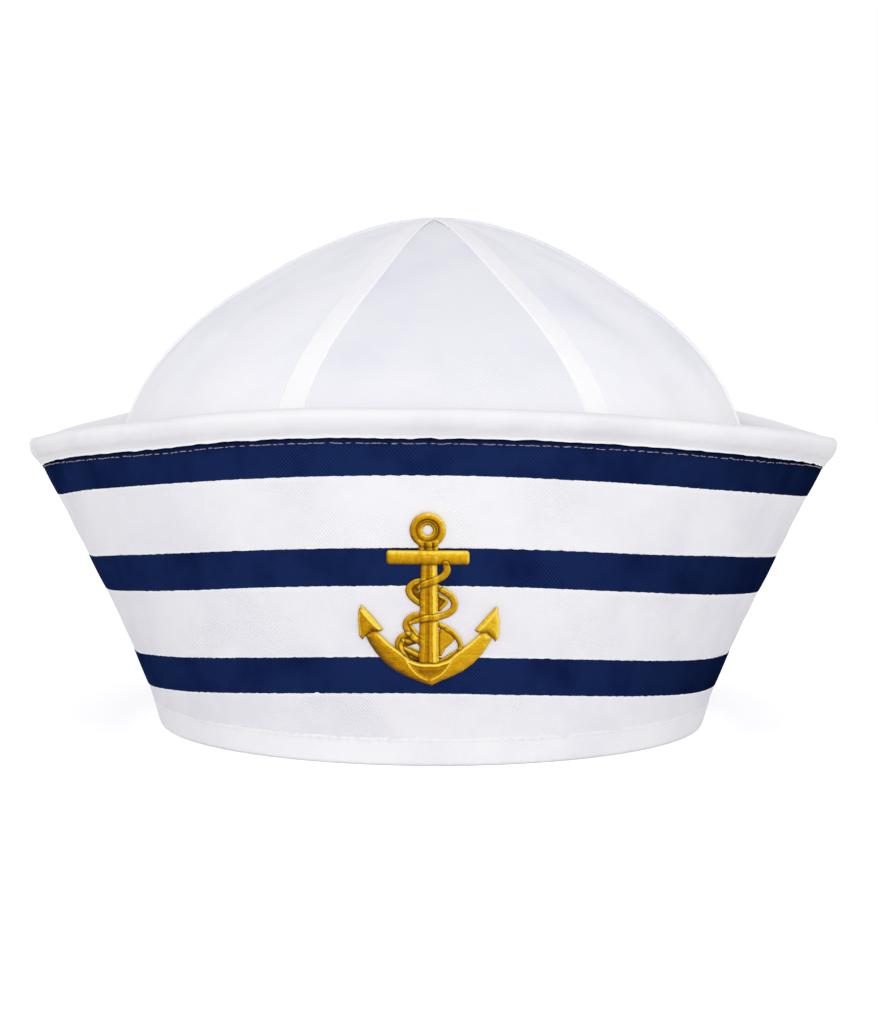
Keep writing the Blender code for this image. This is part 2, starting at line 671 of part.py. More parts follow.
def fused_form(forms):
    """One closed form from overlapping ones, as a bmesh; the forms are removed."""
    body = forms[0]
    for other in forms[1:]:
        join = body.modifiers.new("join", "BOOLEAN")
        join.operation = "UNION"
        join.object = other
    fused = bmesh.new()
    fused.from_object(body, bpy.context.evaluated_depsgraph_get())
    for flat in forms:
        bpy.data.objects.remove(flat, do_unlink=True)
    return fused


def slice_form(form, axis, spacing):
    """Cut a form's faces along evenly spaced planes, so that it can bend."""
    places = [corner.co[axis] for corner in form.verts]
    normal = [0.0, 0.0, 0.0]
    normal[axis] = 1.0
    for step in range(int(min(places) // spacing) + 1, int(max(places) // spacing) + 1):
        plane = [0.0, 0.0, 0.0]
        plane[axis] = step * spacing
        geometry = form.verts[:] + form.edges[:] + form.faces[:]
        bmesh.ops.bisect_plane(form, geom=geometry, dist=1e-6, plane_co=plane, plane_no=normal)


def bend_to_wall(drawn):
    """Points of the flat drawing, across, down and off, laid on the brim's outer face."""
    across = BADGE_MIDDLE_X + drawn[:, 0]
    down = BADGE_RING_DROP + drawn[:, 1]
    height = height_below_rim(np.zeros(1), down)[0]
    front, _, _ = brim_frame(np.zeros_like(height), height)
    share = (-front[:, 1] - HEM_HALF_LENGTH) / (RIM_HALF_LENGTH - HEM_HALF_LENGTH)
    half_width = HEM_HALF_WIDTH + (RIM_HALF_WIDTH - HEM_HALF_WIDTH) * share
    azimuth = np.arcsin(across / half_width)
    fallen = RIM_HEIGHT_FRONT - rim_height(azimuth)
    return brim_point(azimuth, height - fallen, BADGE_LIFT + drawn[:, 2])


def build_anchor_badge(material, parent):
    """The fouled anchor, fused flat and then laid round the front of the brim."""
    form = fused_form(anchor_forms())
    slice_form(form, 0, BADGE_SLICE_ACROSS)
    slice_form(form, 1, BADGE_SLICE_DOWN)
    bmesh.ops.remove_doubles(form, verts=form.verts, dist=BADGE_MERGE)
    bmesh.ops.dissolve_degenerate(form, dist=BADGE_MERGE, edges=form.edges)
    bmesh.ops.triangulate(form, faces=form.faces)
    form.verts.index_update()
    drawn = np.array([corner.co for corner in form.verts])
    faces = [tuple(corner.index for corner in face.verts) for face in form.faces]
    form.free()
    return add_piece("anchor_badge", bend_to_wall(drawn), faces, material, parent)


def main():
    """Build the whole cap."""
    clear_scene()
    cap = bpy.data.objects.new("sailor_cap", None)
    bpy.context.collection.objects.link(cap)
    twill = make_material(WHITE_TWILL)
    tape = make_material(WHITE_TAPE)
    navy = make_material(NAVY_RIBBON)
    gold = make_material(GOLD_THREAD)
    for number in range(1, len(SEAMS) + 1):
        build_gore(number, twill, cap)
    build_through_tape(tape, cap)
    for number, seam in enumerate(ENDING_SEAMS, start=2):
        build_ending_tape(number, seam, tape, cap)
    build_brim_wall(twill, cap)
    for number, ribbon in enumerate(RIBBONS, start=1):
        build_ribbon(number, ribbon, navy, cap)
    build_rim_roll(twill, cap)
    build_hem_band(twill, cap)
    build_anchor_badge(gold, cap)


main()
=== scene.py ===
"""The looks of a white sailor cap: a six-panel crown, a turned-up striped brim, a gold anchor.

Every piece is a surface worked out with numpy and laid on one of two shapes, the brim's outer
face or the crown's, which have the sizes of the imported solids. Lengths are metres unless a name
ends in mm. An azimuth is 0 at the front (-Y), a quarter turn at +X and half a turn at the back.
"""

import logging
import math
from collections.abc import Sequence
from dataclasses import dataclass, field, replace
from enum import Enum
from typing import Any, NamedTuple

import bpy
import numpy as np
from mathutils import Matrix, Vector


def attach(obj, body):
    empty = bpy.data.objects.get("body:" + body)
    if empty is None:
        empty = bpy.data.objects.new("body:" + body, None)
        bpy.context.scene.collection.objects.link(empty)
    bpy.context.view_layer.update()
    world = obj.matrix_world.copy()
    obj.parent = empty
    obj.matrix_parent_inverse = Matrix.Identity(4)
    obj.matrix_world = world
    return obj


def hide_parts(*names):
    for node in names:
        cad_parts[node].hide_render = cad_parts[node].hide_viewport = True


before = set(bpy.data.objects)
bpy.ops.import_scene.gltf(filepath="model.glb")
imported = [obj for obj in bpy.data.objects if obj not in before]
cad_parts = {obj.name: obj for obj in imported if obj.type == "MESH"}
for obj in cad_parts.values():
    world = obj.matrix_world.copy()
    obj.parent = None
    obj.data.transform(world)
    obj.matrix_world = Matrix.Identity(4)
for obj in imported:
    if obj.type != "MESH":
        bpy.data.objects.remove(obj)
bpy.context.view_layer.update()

Array = np.ndarray
Spots = tuple[tuple[float, float], ...]
LOG = logging.getLogger("sailor_cap")
TURN = 2.0 * math.pi
MM = 0.001
CLOTH_MAP = "cloth"
SHARP_FROM = math.radians(55.0)

# Sockets of the colour Mix node, which share their names
MIX_FACTOR, MIX_FIRST, MIX_SECOND, MIX_RESULT = 0, 6, 7, 2


class Slot(Enum):
    """The record's material slots."""

    TWILL = "white_twill"
    TAPE = "white_tape"
    RIBBON = "navy_ribbon"
    GOLD = "gold_thread"


def linear(colour: str) -> tuple[float, float, float, float]:
    """Turn an sRGB colour such as "#f0f0f4" into linear RGBA with an alpha of one."""
    channels = [int(colour[place:place + 2], 16) / 255.0 for place in (1, 3, 5)]
    red, green, blue = [c / 12.92 if c <= 0.04045 else ((c + 0.055) / 1.055) ** 2.4 for c in channels]
    return red, green, blue, 1.0


def feed(node: bpy.types.Node, links: dict[Any, Any]) -> None:
    """Link a node's inputs, each from an output, or from a node's first output."""
    for socket, source in links.items():
        output = source.outputs[0] if isinstance(source, bpy.types.Node) else source
        node.id_data.links.new(output, node.inputs[socket])


def add_node(
    tree: bpy.types.NodeTree, kind: str, values: dict[Any, Any] | None = None,
    links: dict[Any, Any] | None = None, **settings: Any,
) -> bpy.types.Node:
    """Add one node with its settings, fixed inputs and links.

    Args:
        tree: the node tree that gets it.
        kind: the node's type name after "ShaderNode".
        values: fixed value of each input, by the input's name or number.
        links: what feeds each input, by the input's name or number.
        **settings: the node's own properties.

    Returns:
        The new node.
    """
    node = tree.nodes.new("ShaderNode" + kind)
    for name, value in settings.items():
        setattr(node, name, value)
    for socket, value in (values or {}).items():
        node.inputs[socket].default_value = value
    feed(node, links or {})
    return node


def start_material(
    name: str, values: dict[str, Any]
) -> tuple[bpy.types.Material, bpy.types.NodeTree, bpy.types.Node]:
    """Start a material, with its node tree and its Principled shader.

    Args:
        name: the finish's name.
        values: the shader's fixed inputs.

    Returns:
        The material, the tree and the shader.
    """
    material = bpy.data.materials.new(name)
    material.use_nodes = True
    shader = material.node_tree.nodes["Principled BSDF"]
    for socket, value in values.items():
        shader.inputs[socket].default_value = value
    return material, material.node_tree, shader


def add_object(name: str, data: bpy.types.ID) -> bpy.types.Object:
    """Make an object of some data and put it in the scene."""
    thing = bpy.data.objects.new(name, data)
    bpy.context.scene.collection.objects.link(thing)
    return thing


def smooth_step(value: Array, low: float, high: float) -> Array:
    """Rise from 0 at low to 1 at high, level at both ends: t * t * (3 - 2 t)."""
    share = np.clip((value - low) / (high - low), 0.0, 1.0)
    return share * share * (3.0 - 2.0 * share)


def bell(value: Array, width: float) -> Array:
    """One at zero, falling off as exp(-(value / width) squared)."""
    return np.exp(-((value / width) ** 2))


def unit(vectors: Array) -> Array:
    """Vectors scaled to length one."""
    return vectors / np.linalg.norm(vectors, axis=-1, keepdims=True)


def pair(across: Array, along: Array) -> Array:
    """Two arrays, spread to their common shape, as the last axis of one."""
    return np.stack(np.broadcast_arrays(across, along), axis=-1)


def run_along(points: Array) -> Array:
    """Length of a line, or of each line of a grid, from its start to each of its points."""
    steps = np.linalg.norm(np.diff(points, axis=-2), axis=-1)
    return np.concatenate([np.zeros(steps.shape[:-1] + (1,)), np.cumsum(steps, axis=-1)], axis=-1)


def catmull_rom(knots: Sequence[Array], part: Array) -> Array:
    """A smooth curve between the middle two of four knots.

    With the knots p0 to p3, the curve at t is
    p1 + t/2 (p2 - p0 + t (2 p0 - 5 p1 + 4 p2 - p3 + t (3 p1 - p0 - 3 p2 + p3))).

    Args:
        knots: the four knots, or arrays of them.
        part: t, from 0 at the second knot to 1 at the third.

    Returns:
        The curve's points.
    """
    before, start, end, after = knots
    bend = 2.0 * before - 5.0 * start + 4.0 * end - after
    twist = 3.0 * start - before - 3.0 * end + after
    return start + 0.5 * part * (end - before + part * (bend + part * twist))


def smooth_path(knots: Array, steps: int, closed: bool = False) -> Array:
    """Carry a Catmull-Rom curve through knots.

    Args:
        knots: the knots, one row each.
        steps: how many points to make from each knot to the next.
        closed: whether the last knot joins the first.

    Returns:
        The curve's points, one row each.
    """
    if closed:
        padded = np.vstack([knots[-1:], knots, knots[:2]])
    else:
        padded = np.vstack([2.0 * knots[:1] - knots[1:2], knots, 2.0 * knots[-1:] - knots[-2:-1]])
    stretches = len(padded) - 3
    part = (np.arange(steps) / steps)[None, :, None]
    curve = catmull_rom([padded[place:place + stretches, None] for place in range(4)], part)
    curve = curve.reshape(-1, knots.shape[1])
    return curve if closed else np.vstack([curve, knots[-1:]])


@dataclass(frozen=True)
class Waves:
    """Soft waves in cloth: a sum of sines whose directions, lengths and phases come from a seed.

    The height at (u, v) is amplitude * sum of sin(a u + b v + c) / sqrt(count). Where turn is
    given, each a is a whole number of waves to a turn, so that the waves meet round a ring.
    """

    seed: int
    amplitude: float
    shortest: float
    longest: float
    count: int = 14
    turn: float = 0.0

    def around(self, azimuth: Array) -> Array:
        """How far round a ring of length turn some azimuths lie."""
        return azimuth / TURN * self.turn

    def at(self, along: Array, up: Array) -> Array:
        """Height of the waves.

        Args:
            along: places along the cloth.
            up: places up the cloth.

        Returns:
            Heights, of the two arrays' common shape.
        """
        rng = np.random.default_rng(self.seed)
        length = self.shortest * (self.longest / self.shortest) ** rng.random(self.count)
        heading = rng.random(self.count) * TURN
        phase = rng.random(self.count) * TURN
        rate_along = TURN * np.cos(heading) / length
        rate_up = TURN * np.sin(heading) / length
        if self.turn:
            rate_along = np.round(rate_along * self.turn / TURN) * TURN / self.turn
        total = np.zeros(np.broadcast(along, up).shape)
        for a, b, c in zip(rate_along, rate_up, phase):
            total = total + np.sin(a * along + b * up + c)
        return self.amplitude * total / math.sqrt(self.count)


class Surface(NamedTuple):
    """Faces of one kind: their corners' points and their corners' places on the cloth."""

    faces: Array
    places: Array


def grid_surface(rows: int, columns: int, places: Array, close_rows: bool) -> Surface:
    """Join the neighbours of a grid of points with quads, each row closed on itself.

    Args:
        rows: how many rows of points.
        columns: how many points in a row.
        places: cloth places, with one more line wherever the grid closes on itself.
        close_rows: whether the last row joins the first.

    Returns:
        The quads and their corners' cloth places.
    """
    row, column = np.indices((rows if close_rows else rows - 1, columns))
    here, ahead = row * columns, (row + 1) % rows * columns
    beside = (column + 1) % columns
    faces = np.stack([here + column, here + beside, ahead + beside, ahead + column], axis=-1)
    corners = [places[row + up, column + over] for up, over in ((0, 0), (0, 1), (1, 1), (1, 0))]
    return Surface(faces.reshape(-1, 4), np.stack(corners, axis=2).reshape(-1, 4, 2))


def enclosed_volume(points: Array, surfaces: Sequence[Surface]) -> float:
    """Volume inside closed faces, negative where they face inward: sum of p0 . (p1 x p2) / 6."""
    total = 0.0
    for surface in surfaces:
        first = points[surface.faces[:, 0]]
        for corner in range(1, surface.faces.shape[1] - 1):
            second, third = points[surface.faces[:, corner]], points[surface.faces[:, corner + 1]]
            total += float(np.einsum("ij,ij->", first, np.cross(second, third)))
    return total / 6.0


@dataclass
class Piece:
    """One finished piece, ready to become an object."""

    name: str
    points: Array
    surfaces: list[Surface]
    slot: Slot = Slot.TWILL
    replaces: tuple[str, ...] = ()
    marks: dict[str, Array] = field(default_factory=dict)

    def add(self, material: bpy.types.Material) -> bpy.types.Object:
        """Make the mesh and its object, facing outward, riding on the cap's one body.

        Args:
            material: the piece's finish.

        Returns:
            The new object.
        """
        points = self.points.reshape(-1, 3)
        surfaces = self.surfaces
        if enclosed_volume(points, surfaces) < 0.0:
            surfaces = [Surface(s.faces[:, ::-1], s.places[:, ::-1]) for s in surfaces]
        corners = np.concatenate([s.faces.ravel() for s in surfaces])
        places = np.concatenate([s.places.reshape(-1, 2) for s in surfaces])
        sizes = np.concatenate([np.full(len(s.faces), s.faces.shape[1]) for s in surfaces])
        mesh = bpy.data.meshes.new(self.name)
        mesh.vertices.add(len(points))
        mesh.vertices.foreach_set("co", points.astype(np.float32).ravel())
        mesh.loops.add(len(corners))
        mesh.loops.foreach_set("vertex_index", corners.astype(np.int32))
        mesh.polygons.add(len(sizes))
        mesh.polygons.foreach_set("loop_start", (np.cumsum(sizes) - sizes).astype(np.int32))
        mesh.update(calc_edges=True)
        mesh.uv_layers.new(name=CLOTH_MAP).data.foreach_set("uv", places.astype(np.float32).ravel())
        for mark, values in self.marks.items():
            values = np.broadcast_to(values, self.points.shape[:-1]).astype(np.float32)
            mesh.attributes.new(mark, "FLOAT", "POINT").data.foreach_set("value", values.ravel())
        mesh.validate()
        mesh.shade_smooth()
        mesh.set_sharp_from_angle(angle=SHARP_FROM)
        mesh.materials.append(material)
        thing = add_object(self.name, mesh)
        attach(thing, "root")
        if self.replaces:
            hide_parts(*self.replaces)
        low, high = np.round(points.min(axis=0) / MM, 1), np.round(points.max(axis=0) / MM, 1)
        LOG.info("%s: %d faces, %s to %s mm", self.name, len(sizes), low, high)
        return thing


def ring_piece(name: str, node: str, points: Array, places: Array, painted_shading: Array, slot: Slot) -> Piece:
    """A closed ring: points round the cap by points round its section.

    Args:
        name: the piece's name.
        node: the node that it replaces.
        points: columns round the cap, corners round the section, xyz.
        places: cloth places of the points, before the ways close.
        painted_shading: how strongly the finish's colour for painted light and shade shows at each point.
        slot: the record's slot.

    Returns:
        The piece.
    """
    turn = 2.0 * places[-1:] - places[-2:-1]
    places = np.concatenate([places, turn], axis=0)
    across = 2.0 * places[:, -1:] - places[:, -2:-1]
    places = np.concatenate([places, across], axis=1)
    surface = grid_surface(points.shape[0], points.shape[1], places, True)
    return Piece(name, points, [surface], slot, (node,), {"painted_shading": painted_shading})


def shell_piece(
    name: str, node: str, faces: tuple[Array, Array], places: Array, painted_shading: Array, slot: Slot
) -> Piece:
    """A closed sheet between two grids of points, rows by columns.

    Each row runs across the outer grid and back across the inner one, and the first and last
    rows are closed by a strip.

    Args:
        name: the piece's name.
        node: the node that it replaces.
        faces: the outer and the inner face's points.
        places: cloth places of both.
        painted_shading: how strongly the finish's colour for painted light and shade shows, round each row.
        slot: the record's slot.

    Returns:
        The piece.
    """
    outer, inner = faces
    rows, columns, _ = outer.shape
    both = np.concatenate([places, places[:, ::-1], places[:, :1]], axis=1)
    surfaces = [grid_surface(rows, 2 * columns, both, False)]
    across = np.arange(columns - 1)
    back = 2 * columns - 1 - across
    strip = np.stack([across, back, back - 1, across + 1], axis=-1)
    for corners, row in ((strip, 0), ((rows - 1) * 2 * columns + strip[:, ::-1], rows - 1)):
        spots = [places[row, :-1], places[row, :-1], places[row, 1:], places[row, 1:]]
        surfaces.append(Surface(corners, np.stack(spots, axis=1)))
    points = np.concatenate([outer, inner[:, ::-1]], axis=1)
    return Piece(name, points, surfaces, slot, (node,), {"painted_shading": painted_shading})


class Sway(NamedTuple):
    """A stretch of the brim where a line lies off its even curve: the stretch's middle and half
    width in degrees, and how far off it lies in metres."""

    azimuth: float
    half_width: float
    size: float


def swayed(sways: Sequence[Sway], azimuth: Array) -> Array:
    """How far off a line lies: the sum of size * exp(-(angle from the middle / half width)^4)."""
    total = np.zeros(np.shape(azimuth))
    for sway in sways:
        angle = np.degrees(azimuth) - sway.azimuth
        total = total + sway.size * bell(angle ** 2, sway.half_width ** 2)
    return total


RIM_RISES = (
    Sway(-21.0, 13.0, 0.0006), Sway(81.0, 14.0, -0.0004), Sway(126.0, 20.0, 0.0017),
    Sway(-82.0, 16.0, -0.0003), Sway(-118.0, 20.0, 0.0002), Sway(-84.0, 20.0, -0.0010),
)
# The ribbons lie level under all of them but the last, which they follow
LEVEL_UNDER = RIM_RISES[:5]
ROLL_SWELLS = (Sway(-90.0, 24.0, 0.0004), Sway(78.0, 34.0, 0.0006))
LIP_DROPS = (
    Sway(-58.0, 16.0, -0.0002), Sway(-90.0, 16.0, 0.0012), Sway(90.0, 20.0, 0.0013),
    Sway(81.0, 14.0, -0.0005), Sway(-82.0, 16.0, -0.0003),
)
WALL_FLARES = (Sway(85.0, 30.0, 0.0005),)
STITCHES_CLOSE = (Sway(-90.0, 26.0, -0.0011), Sway(90.0, 32.0, -0.0009))


@dataclass(frozen=True)
class BrimShape:
    """The brim's outer face: a wall that leans out from an oval hem to a saddle-shaped rim."""

    hem_half_width: float = 0.0851
    hem_half_length: float = 0.1016
    rim_half_width: float = 0.1249
    rim_half_length: float = 0.1390
    rim_height_front: float = 0.1004
    rim_height_side: float = 0.0898
    rim_height_back: float = 0.1096
    hem_lean: float = 0.2285
    lean_settles_over: float = 0.0160
    wall_thickness: float = 0.0022
    samples: int = 160
    waves: Waves = Waves(seed=4, amplitude=0.00042, shortest=0.035, longest=0.16, turn=0.70)
    waves_between: tuple[float, float] = (0.004, 0.05)
    flare_between: tuple[float, float] = (0.062, 0.086)

    def rim_height(self, azimuth: Array) -> Array:
        """Height of the rim: the side's, plus the end's excess times the cosine squared, and
        the stretches that rise or droop."""
        forward = np.cos(azimuth)
        end = np.where(forward > 0.0, self.rim_height_front, self.rim_height_back)
        even = self.rim_height_side + (end - self.rim_height_side) * forward ** 2
        return even + swayed(RIM_RISES, azimuth)

    def spread(self) -> tuple[float, float]:
        """How much further out the rim is than the hem, at the side and at the front."""
        return self.rim_half_width - self.hem_half_width, self.rim_half_length - self.hem_half_length

    def share_out(self, azimuth: Array, height: Array) -> tuple[Array, Array]:
        """How far out the face is at a height, as a share of its spread, and its lean.

        The lean grows from the hem's to its full value as 1 - exp(-height / settling length),
        and the full value is what brings the face to the rim.

        Args:
            azimuth: azimuths.
            height: heights over the floor.

        Returns:
            The shares and the leans, outward run for each unit of height.
        """
        wide, long = self.spread()
        reach = np.hypot(wide * np.sin(azimuth), long * np.cos(azimuth))
        rim = self.rim_height(azimuth)
        settling = self.lean_settles_over
        settled = settling * (1.0 - np.exp(-rim / settling))
        full = (reach - self.hem_lean * settled) / (rim - settled)
        fading = np.exp(-height / settling)
        bend = (full - self.hem_lean) * settling * (1.0 - fading)
        return (full * height - bend) / reach, full - (full - self.hem_lean) * fading

    def point(self, azimuth: Array, height: Array, offset: Array | float, wavy: bool = True) -> Array:
        """Points a distance out from the outer face.

        Args:
            azimuth: azimuths.
            height: heights over the floor.
            offset: distances out, square to the face; inward is negative.
            wavy: whether the cloth's soft waves are added, from the hem's none to all half way up.

        Returns:
            Points, with xyz last.
        """
        azimuth, height, offset = np.broadcast_arrays(azimuth, height, offset)
        share, lean = self.share_out(azimuth, height)
        wide, long = self.spread()
        half_width = self.hem_half_width + wide * share
        half_length = self.hem_half_length + long * share
        across, along = np.sin(azimuth), -np.cos(azimuth)
        level = offset * np.sqrt(1.0 + lean ** 2)
        if wavy:
            wave = self.waves.at(self.waves.around(azimuth), height)
            level = level + wave * smooth_step(height, *self.waves_between)
            level = level + swayed(WALL_FLARES, azimuth) * smooth_step(height, *self.flare_between)
        plan = pair(half_width * across, half_length * along)
        plan = plan + unit(pair(half_length * across, half_width * along)) * level[..., None]
        return np.concatenate([plan, height[..., None]], axis=-1)

    def outward(self, azimuth: Array, height: Array) -> Array:
        """Level unit vectors out of the face."""
        return unit(self.point(azimuth, height, MM) - self.point(azimuth, height, 0.0))

    def height_below_rim(self, azimuth: Array, distance: Array) -> Array:
        """Heights of the outer face's points some distances down the wall from the rim.

        The wall's run is measured at evenly spaced heights, and each distance is then placed
        between the two samples that it lies between.

        Args:
            azimuth: a column of azimuths.
            distance: distances down the wall, one row for each azimuth or one for all.

        Returns:
            Heights, azimuths by distances.
        """
        distance = np.broadcast_to(distance, (len(azimuth), np.shape(distance)[-1]))
        heights = self.rim_height(azimuth) * np.linspace(1.0, 0.0, self.samples)
        run = run_along(self.point(azimuth, heights, 0.0, wavy=False))
        after = np.zeros(distance.shape, dtype=int)
        for sample in range(self.samples):
            after += run[:, sample, None] <= distance
        after = np.clip(after, 1, self.samples - 1)
        low, high = (np.take_along_axis(run, place, axis=1) for place in (after - 1, after))
        upper, lower = (np.take_along_axis(heights, place, axis=1) for place in (after - 1, after))
        return upper + (lower - upper) * (distance - low) / (high - low)

    def azimuths(self, columns: int) -> Array:
        """A column of even azimuths, from the back round by the front, so that cloth joins behind."""
        return np.linspace(-math.pi, math.pi, columns, endpoint=False)[:, None]

    def cloth_place(self, azimuth: Array, height: Array) -> Array:
        """Places on the cloth: how far round at that height, and how high."""
        share, _ = self.share_out(azimuth, height)
        wide, long = self.spread()
        mean = (self.hem_half_width + self.hem_half_length + (wide + long) * share) / 2.0
        return pair(azimuth * mean, height)

    def strip_ring(
        self, name: str, node: str, strips: Sequence[tuple[Array, Array | float]], painted_shading: Array, slot: Slot
    ) -> Piece:
        """A closed ring of strips that follow the wall.

        Args:
            name: the piece's name.
            node: the node that it replaces.
            strips: heights of each strip, columns by rows, and how far out it lies.
            painted_shading: how strongly the colour for painted light and shade shows.
            slot: the record's slot.

        Returns:
            The piece.
        """
        azimuth = self.azimuths(len(painted_shading))
        points = np.concatenate([self.point(azimuth, height, out) for height, out in strips], axis=1)
        places = self.cloth_place(azimuth, np.concatenate([height for height, _ in strips], axis=1))
        return ring_piece(name, node, points, places, painted_shading, slot)


RIBBON_SKEW = 0.0003


class Ribbon(NamedTuple):
    """Where a ribbon begins and ends, down the wall from the rim, and where its edges stray."""

    upper: float
    lower: float
    upper_sways: tuple[Sway, ...] = ()
    lower_sways: tuple[Sway, ...] = ()

    def edges(self, azimuth: Array) -> tuple[Array, Array]:
        """Both edges' distances from the rim: lower on the right by a sine, true to the hem
        where the rim rises in front, and straying at the two sides."""
        even = RIBBON_SKEW * np.sin(azimuth) + swayed(LEVEL_UNDER, azimuth)
        upper = self.upper + even + swayed(self.upper_sways, azimuth)
        return upper, self.lower + even + swayed(self.lower_sways, azimuth)


RIBBONS = (
    Ribbon(0.0091, 0.0199, (), (Sway(30.0, 20.0, 0.0003),)),
    Ribbon(
        0.0411, 0.0524, (Sway(-90.0, 28.0, -0.0003), Sway(62.0, 22.0, -0.0008)),
        (Sway(-90.0, 28.0, -0.0003), Sway(-50.0, 18.0, 0.0003), Sway(38.0, 22.0, 0.0003)),
    ),
    Ribbon(
        0.0740, 0.0851, (Sway(-90.0, 28.0, -0.0008), Sway(90.0, 28.0, -0.0006)),
        (Sway(-90.0, 28.0, -0.0009), Sway(90.0, 28.0, -0.0006), Sway(25.0, 20.0, 0.0002)),
    ),
)


@dataclass(frozen=True)
class Twill:
    """Cotton drill, bleached or dyed: fine diagonal wales, matt, with a faint bloom.

    A phase runs across the wales and another along them, over places on the cloth; their sines
    give the threads' height and the change of colour between thread and groove. The threads are
    drawn coarser than real drill's half millimetre where a finer one wouldn't show.
    """

    name: str
    thread: str
    groove: str
    shade: str
    wale_mm: float = 0.82
    yarn_mm: float = 0.78
    yarn_share: float = 0.7
    wale_angle: float = 42.0
    wander_mm: float = 6.0
    wander_turns: float = 2.4
    relief_mm: float = 0.05
    contrast: float = 0.5
    shade_mm: float = 34.0
    shade_from: float = 0.45
    faint_mm: float = 24.0
    faint_between: tuple[float, float] = (0.42, 0.62)
    faintest: float = 0.1
    roughness: float = 0.85
    gloss: float = 0.05
    # Colour of the painted light and shade that the painted_shading mark mixes in
    painted_shading: str = ""

    def phase(
        self, tree: bpy.types.NodeTree, cloth: bpy.types.NodeSocket, pitch_mm: float, angle: float
    ) -> bpy.types.Node:
        """A sine of the place on the cloth.

        Args:
            tree: the material's node tree.
            cloth: the place on the cloth.
            pitch_mm: the sine's length.
            angle: the heading that it runs along, in degrees.

        Returns:
            The node that gives it.
        """
        rate = TURN / (pitch_mm * MM)
        across = (rate * math.cos(math.radians(angle)), rate * math.sin(math.radians(angle)), 0.0)
        turn = add_node(tree, "VectorMath", {1: across}, {0: cloth}, operation="DOT_PRODUCT")
        # Threads are never quite even: they wander sideways as they run
        uneven = {"Scale": 1.0 / (self.wander_mm * MM), "Detail": 2.0}
        wander = add_node(tree, "TexNoise", uneven, {"Vector": cloth})
        moved = add_node(
            tree, "Math", {1: self.wander_turns}, {0: wander, 2: turn.outputs["Value"]},
            operation="MULTIPLY_ADD",
        )
        return add_node(tree, "Math", links={0: moved}, operation="SINE")

    def material(self) -> bpy.types.Material:
        """A Principled material with bump and colour from the weave."""
        values = {"Roughness": self.roughness, "Specular IOR Level": self.gloss}
        material, tree, shader = start_material(self.name, values)
        cloth = add_node(tree, "UVMap", uv_map=CLOTH_MAP).outputs["UV"]
        wale = self.phase(tree, cloth, self.wale_mm, self.wale_angle)
        yarn = self.phase(tree, cloth, self.yarn_mm, self.wale_angle - 90.0)
        both = add_node(tree, "Math", {1: self.yarn_share}, {0: yarn, 2: wale}, operation="MULTIPLY_ADD")
        # The wales show in patches, and are flattened almost smooth between them
        patches = add_node(tree, "TexNoise", {"Scale": 1.0 / (self.faint_mm * MM)}, {"Vector": cloth})
        low, high = self.faint_between
        spread = {"From Min": low, "From Max": high, "To Min": self.faintest, "To Max": 1.0}
        plain = add_node(tree, "MapRange", spread, {"Value": patches})
        height = add_node(tree, "Math", links={0: both, 1: plain}, operation="MULTIPLY")
        bump = add_node(
            tree, "Bump", {"Strength": 1.0, "Distance": self.relief_mm * MM}, {"Height": height}
        )
        spread = {"From Min": -1.4, "From Max": 1.4, "To Min": 1.0 - self.contrast, "To Max": 1.0}
        depth = add_node(tree, "MapRange", spread, {"Value": height})
        soft = {"Scale": 1.0 / (self.shade_mm * MM), "Detail": 3.0, "Roughness": 0.55}
        cloud = add_node(tree, "TexNoise", soft, {"Vector": cloth})
        spread = {"From Min": self.shade_from, "From Max": self.shade_from + 0.25}
        cloudy = add_node(tree, "MapRange", spread, {"Value": cloud})
        # Grooves are coloured darker than threads: painted shade in the grooves, stronger than the bump
        # alone gives
        woven = add_node(
            tree, "Mix", {MIX_FIRST: linear(self.groove), MIX_SECOND: linear(self.thread)},
            {MIX_FACTOR: depth}, data_type="RGBA",
        )
        colour = add_node(
            tree, "Mix", {MIX_SECOND: linear(self.shade)},
            {MIX_FACTOR: cloudy, MIX_FIRST: woven.outputs[MIX_RESULT]},
            data_type="RGBA", blend_type="MULTIPLY",
        )
        # Mix in the finish's colour for painted light and shade where the mark asks for it
        if self.painted_shading:
            mark = add_node(tree, "Attribute", attribute_name="painted_shading").outputs["Fac"]
            colour = add_node(
                tree, "Mix", {MIX_SECOND: linear(self.painted_shading)},
                {MIX_FACTOR: mark, MIX_FIRST: colour.outputs[MIX_RESULT]}, data_type="RGBA",
            )
        feed(shader, {"Normal": bump, "Base Color": colour.outputs[MIX_RESULT]})
        return material


# The painted_shading colours: painted light on the brim, roll and crown, painted shade on the hem and tapes,
# painted shadow and shade on the navy ribbons
BRIM_TWILL = Twill(
    name="bleached_cotton_drill", thread="#f4f3f7", groove="#e5e4ea", shade="#f6f5f8", painted_shading="#fdfdfe",
    relief_mm=0.035, contrast=0.75, faintest=0.3,
)
ROLL_TWILL = Twill(
    name="bleached_cotton_drill_padded", thread="#efeef1", groove="#e7e6ea", shade="#f4f3f5",
    painted_shading="#fcfbff", relief_mm=0.014, contrast=0.35,
)
CROWN_TWILL = Twill(
    name="bleached_cotton_drill_thin", thread="#f3f3f9", groove="#e3e3ec", shade="#f7f7fb", relief_mm=0.02,
    contrast=0.9, wale_angle=28.0, yarn_share=0.45, faintest=0.15, painted_shading="#ffffff",
)
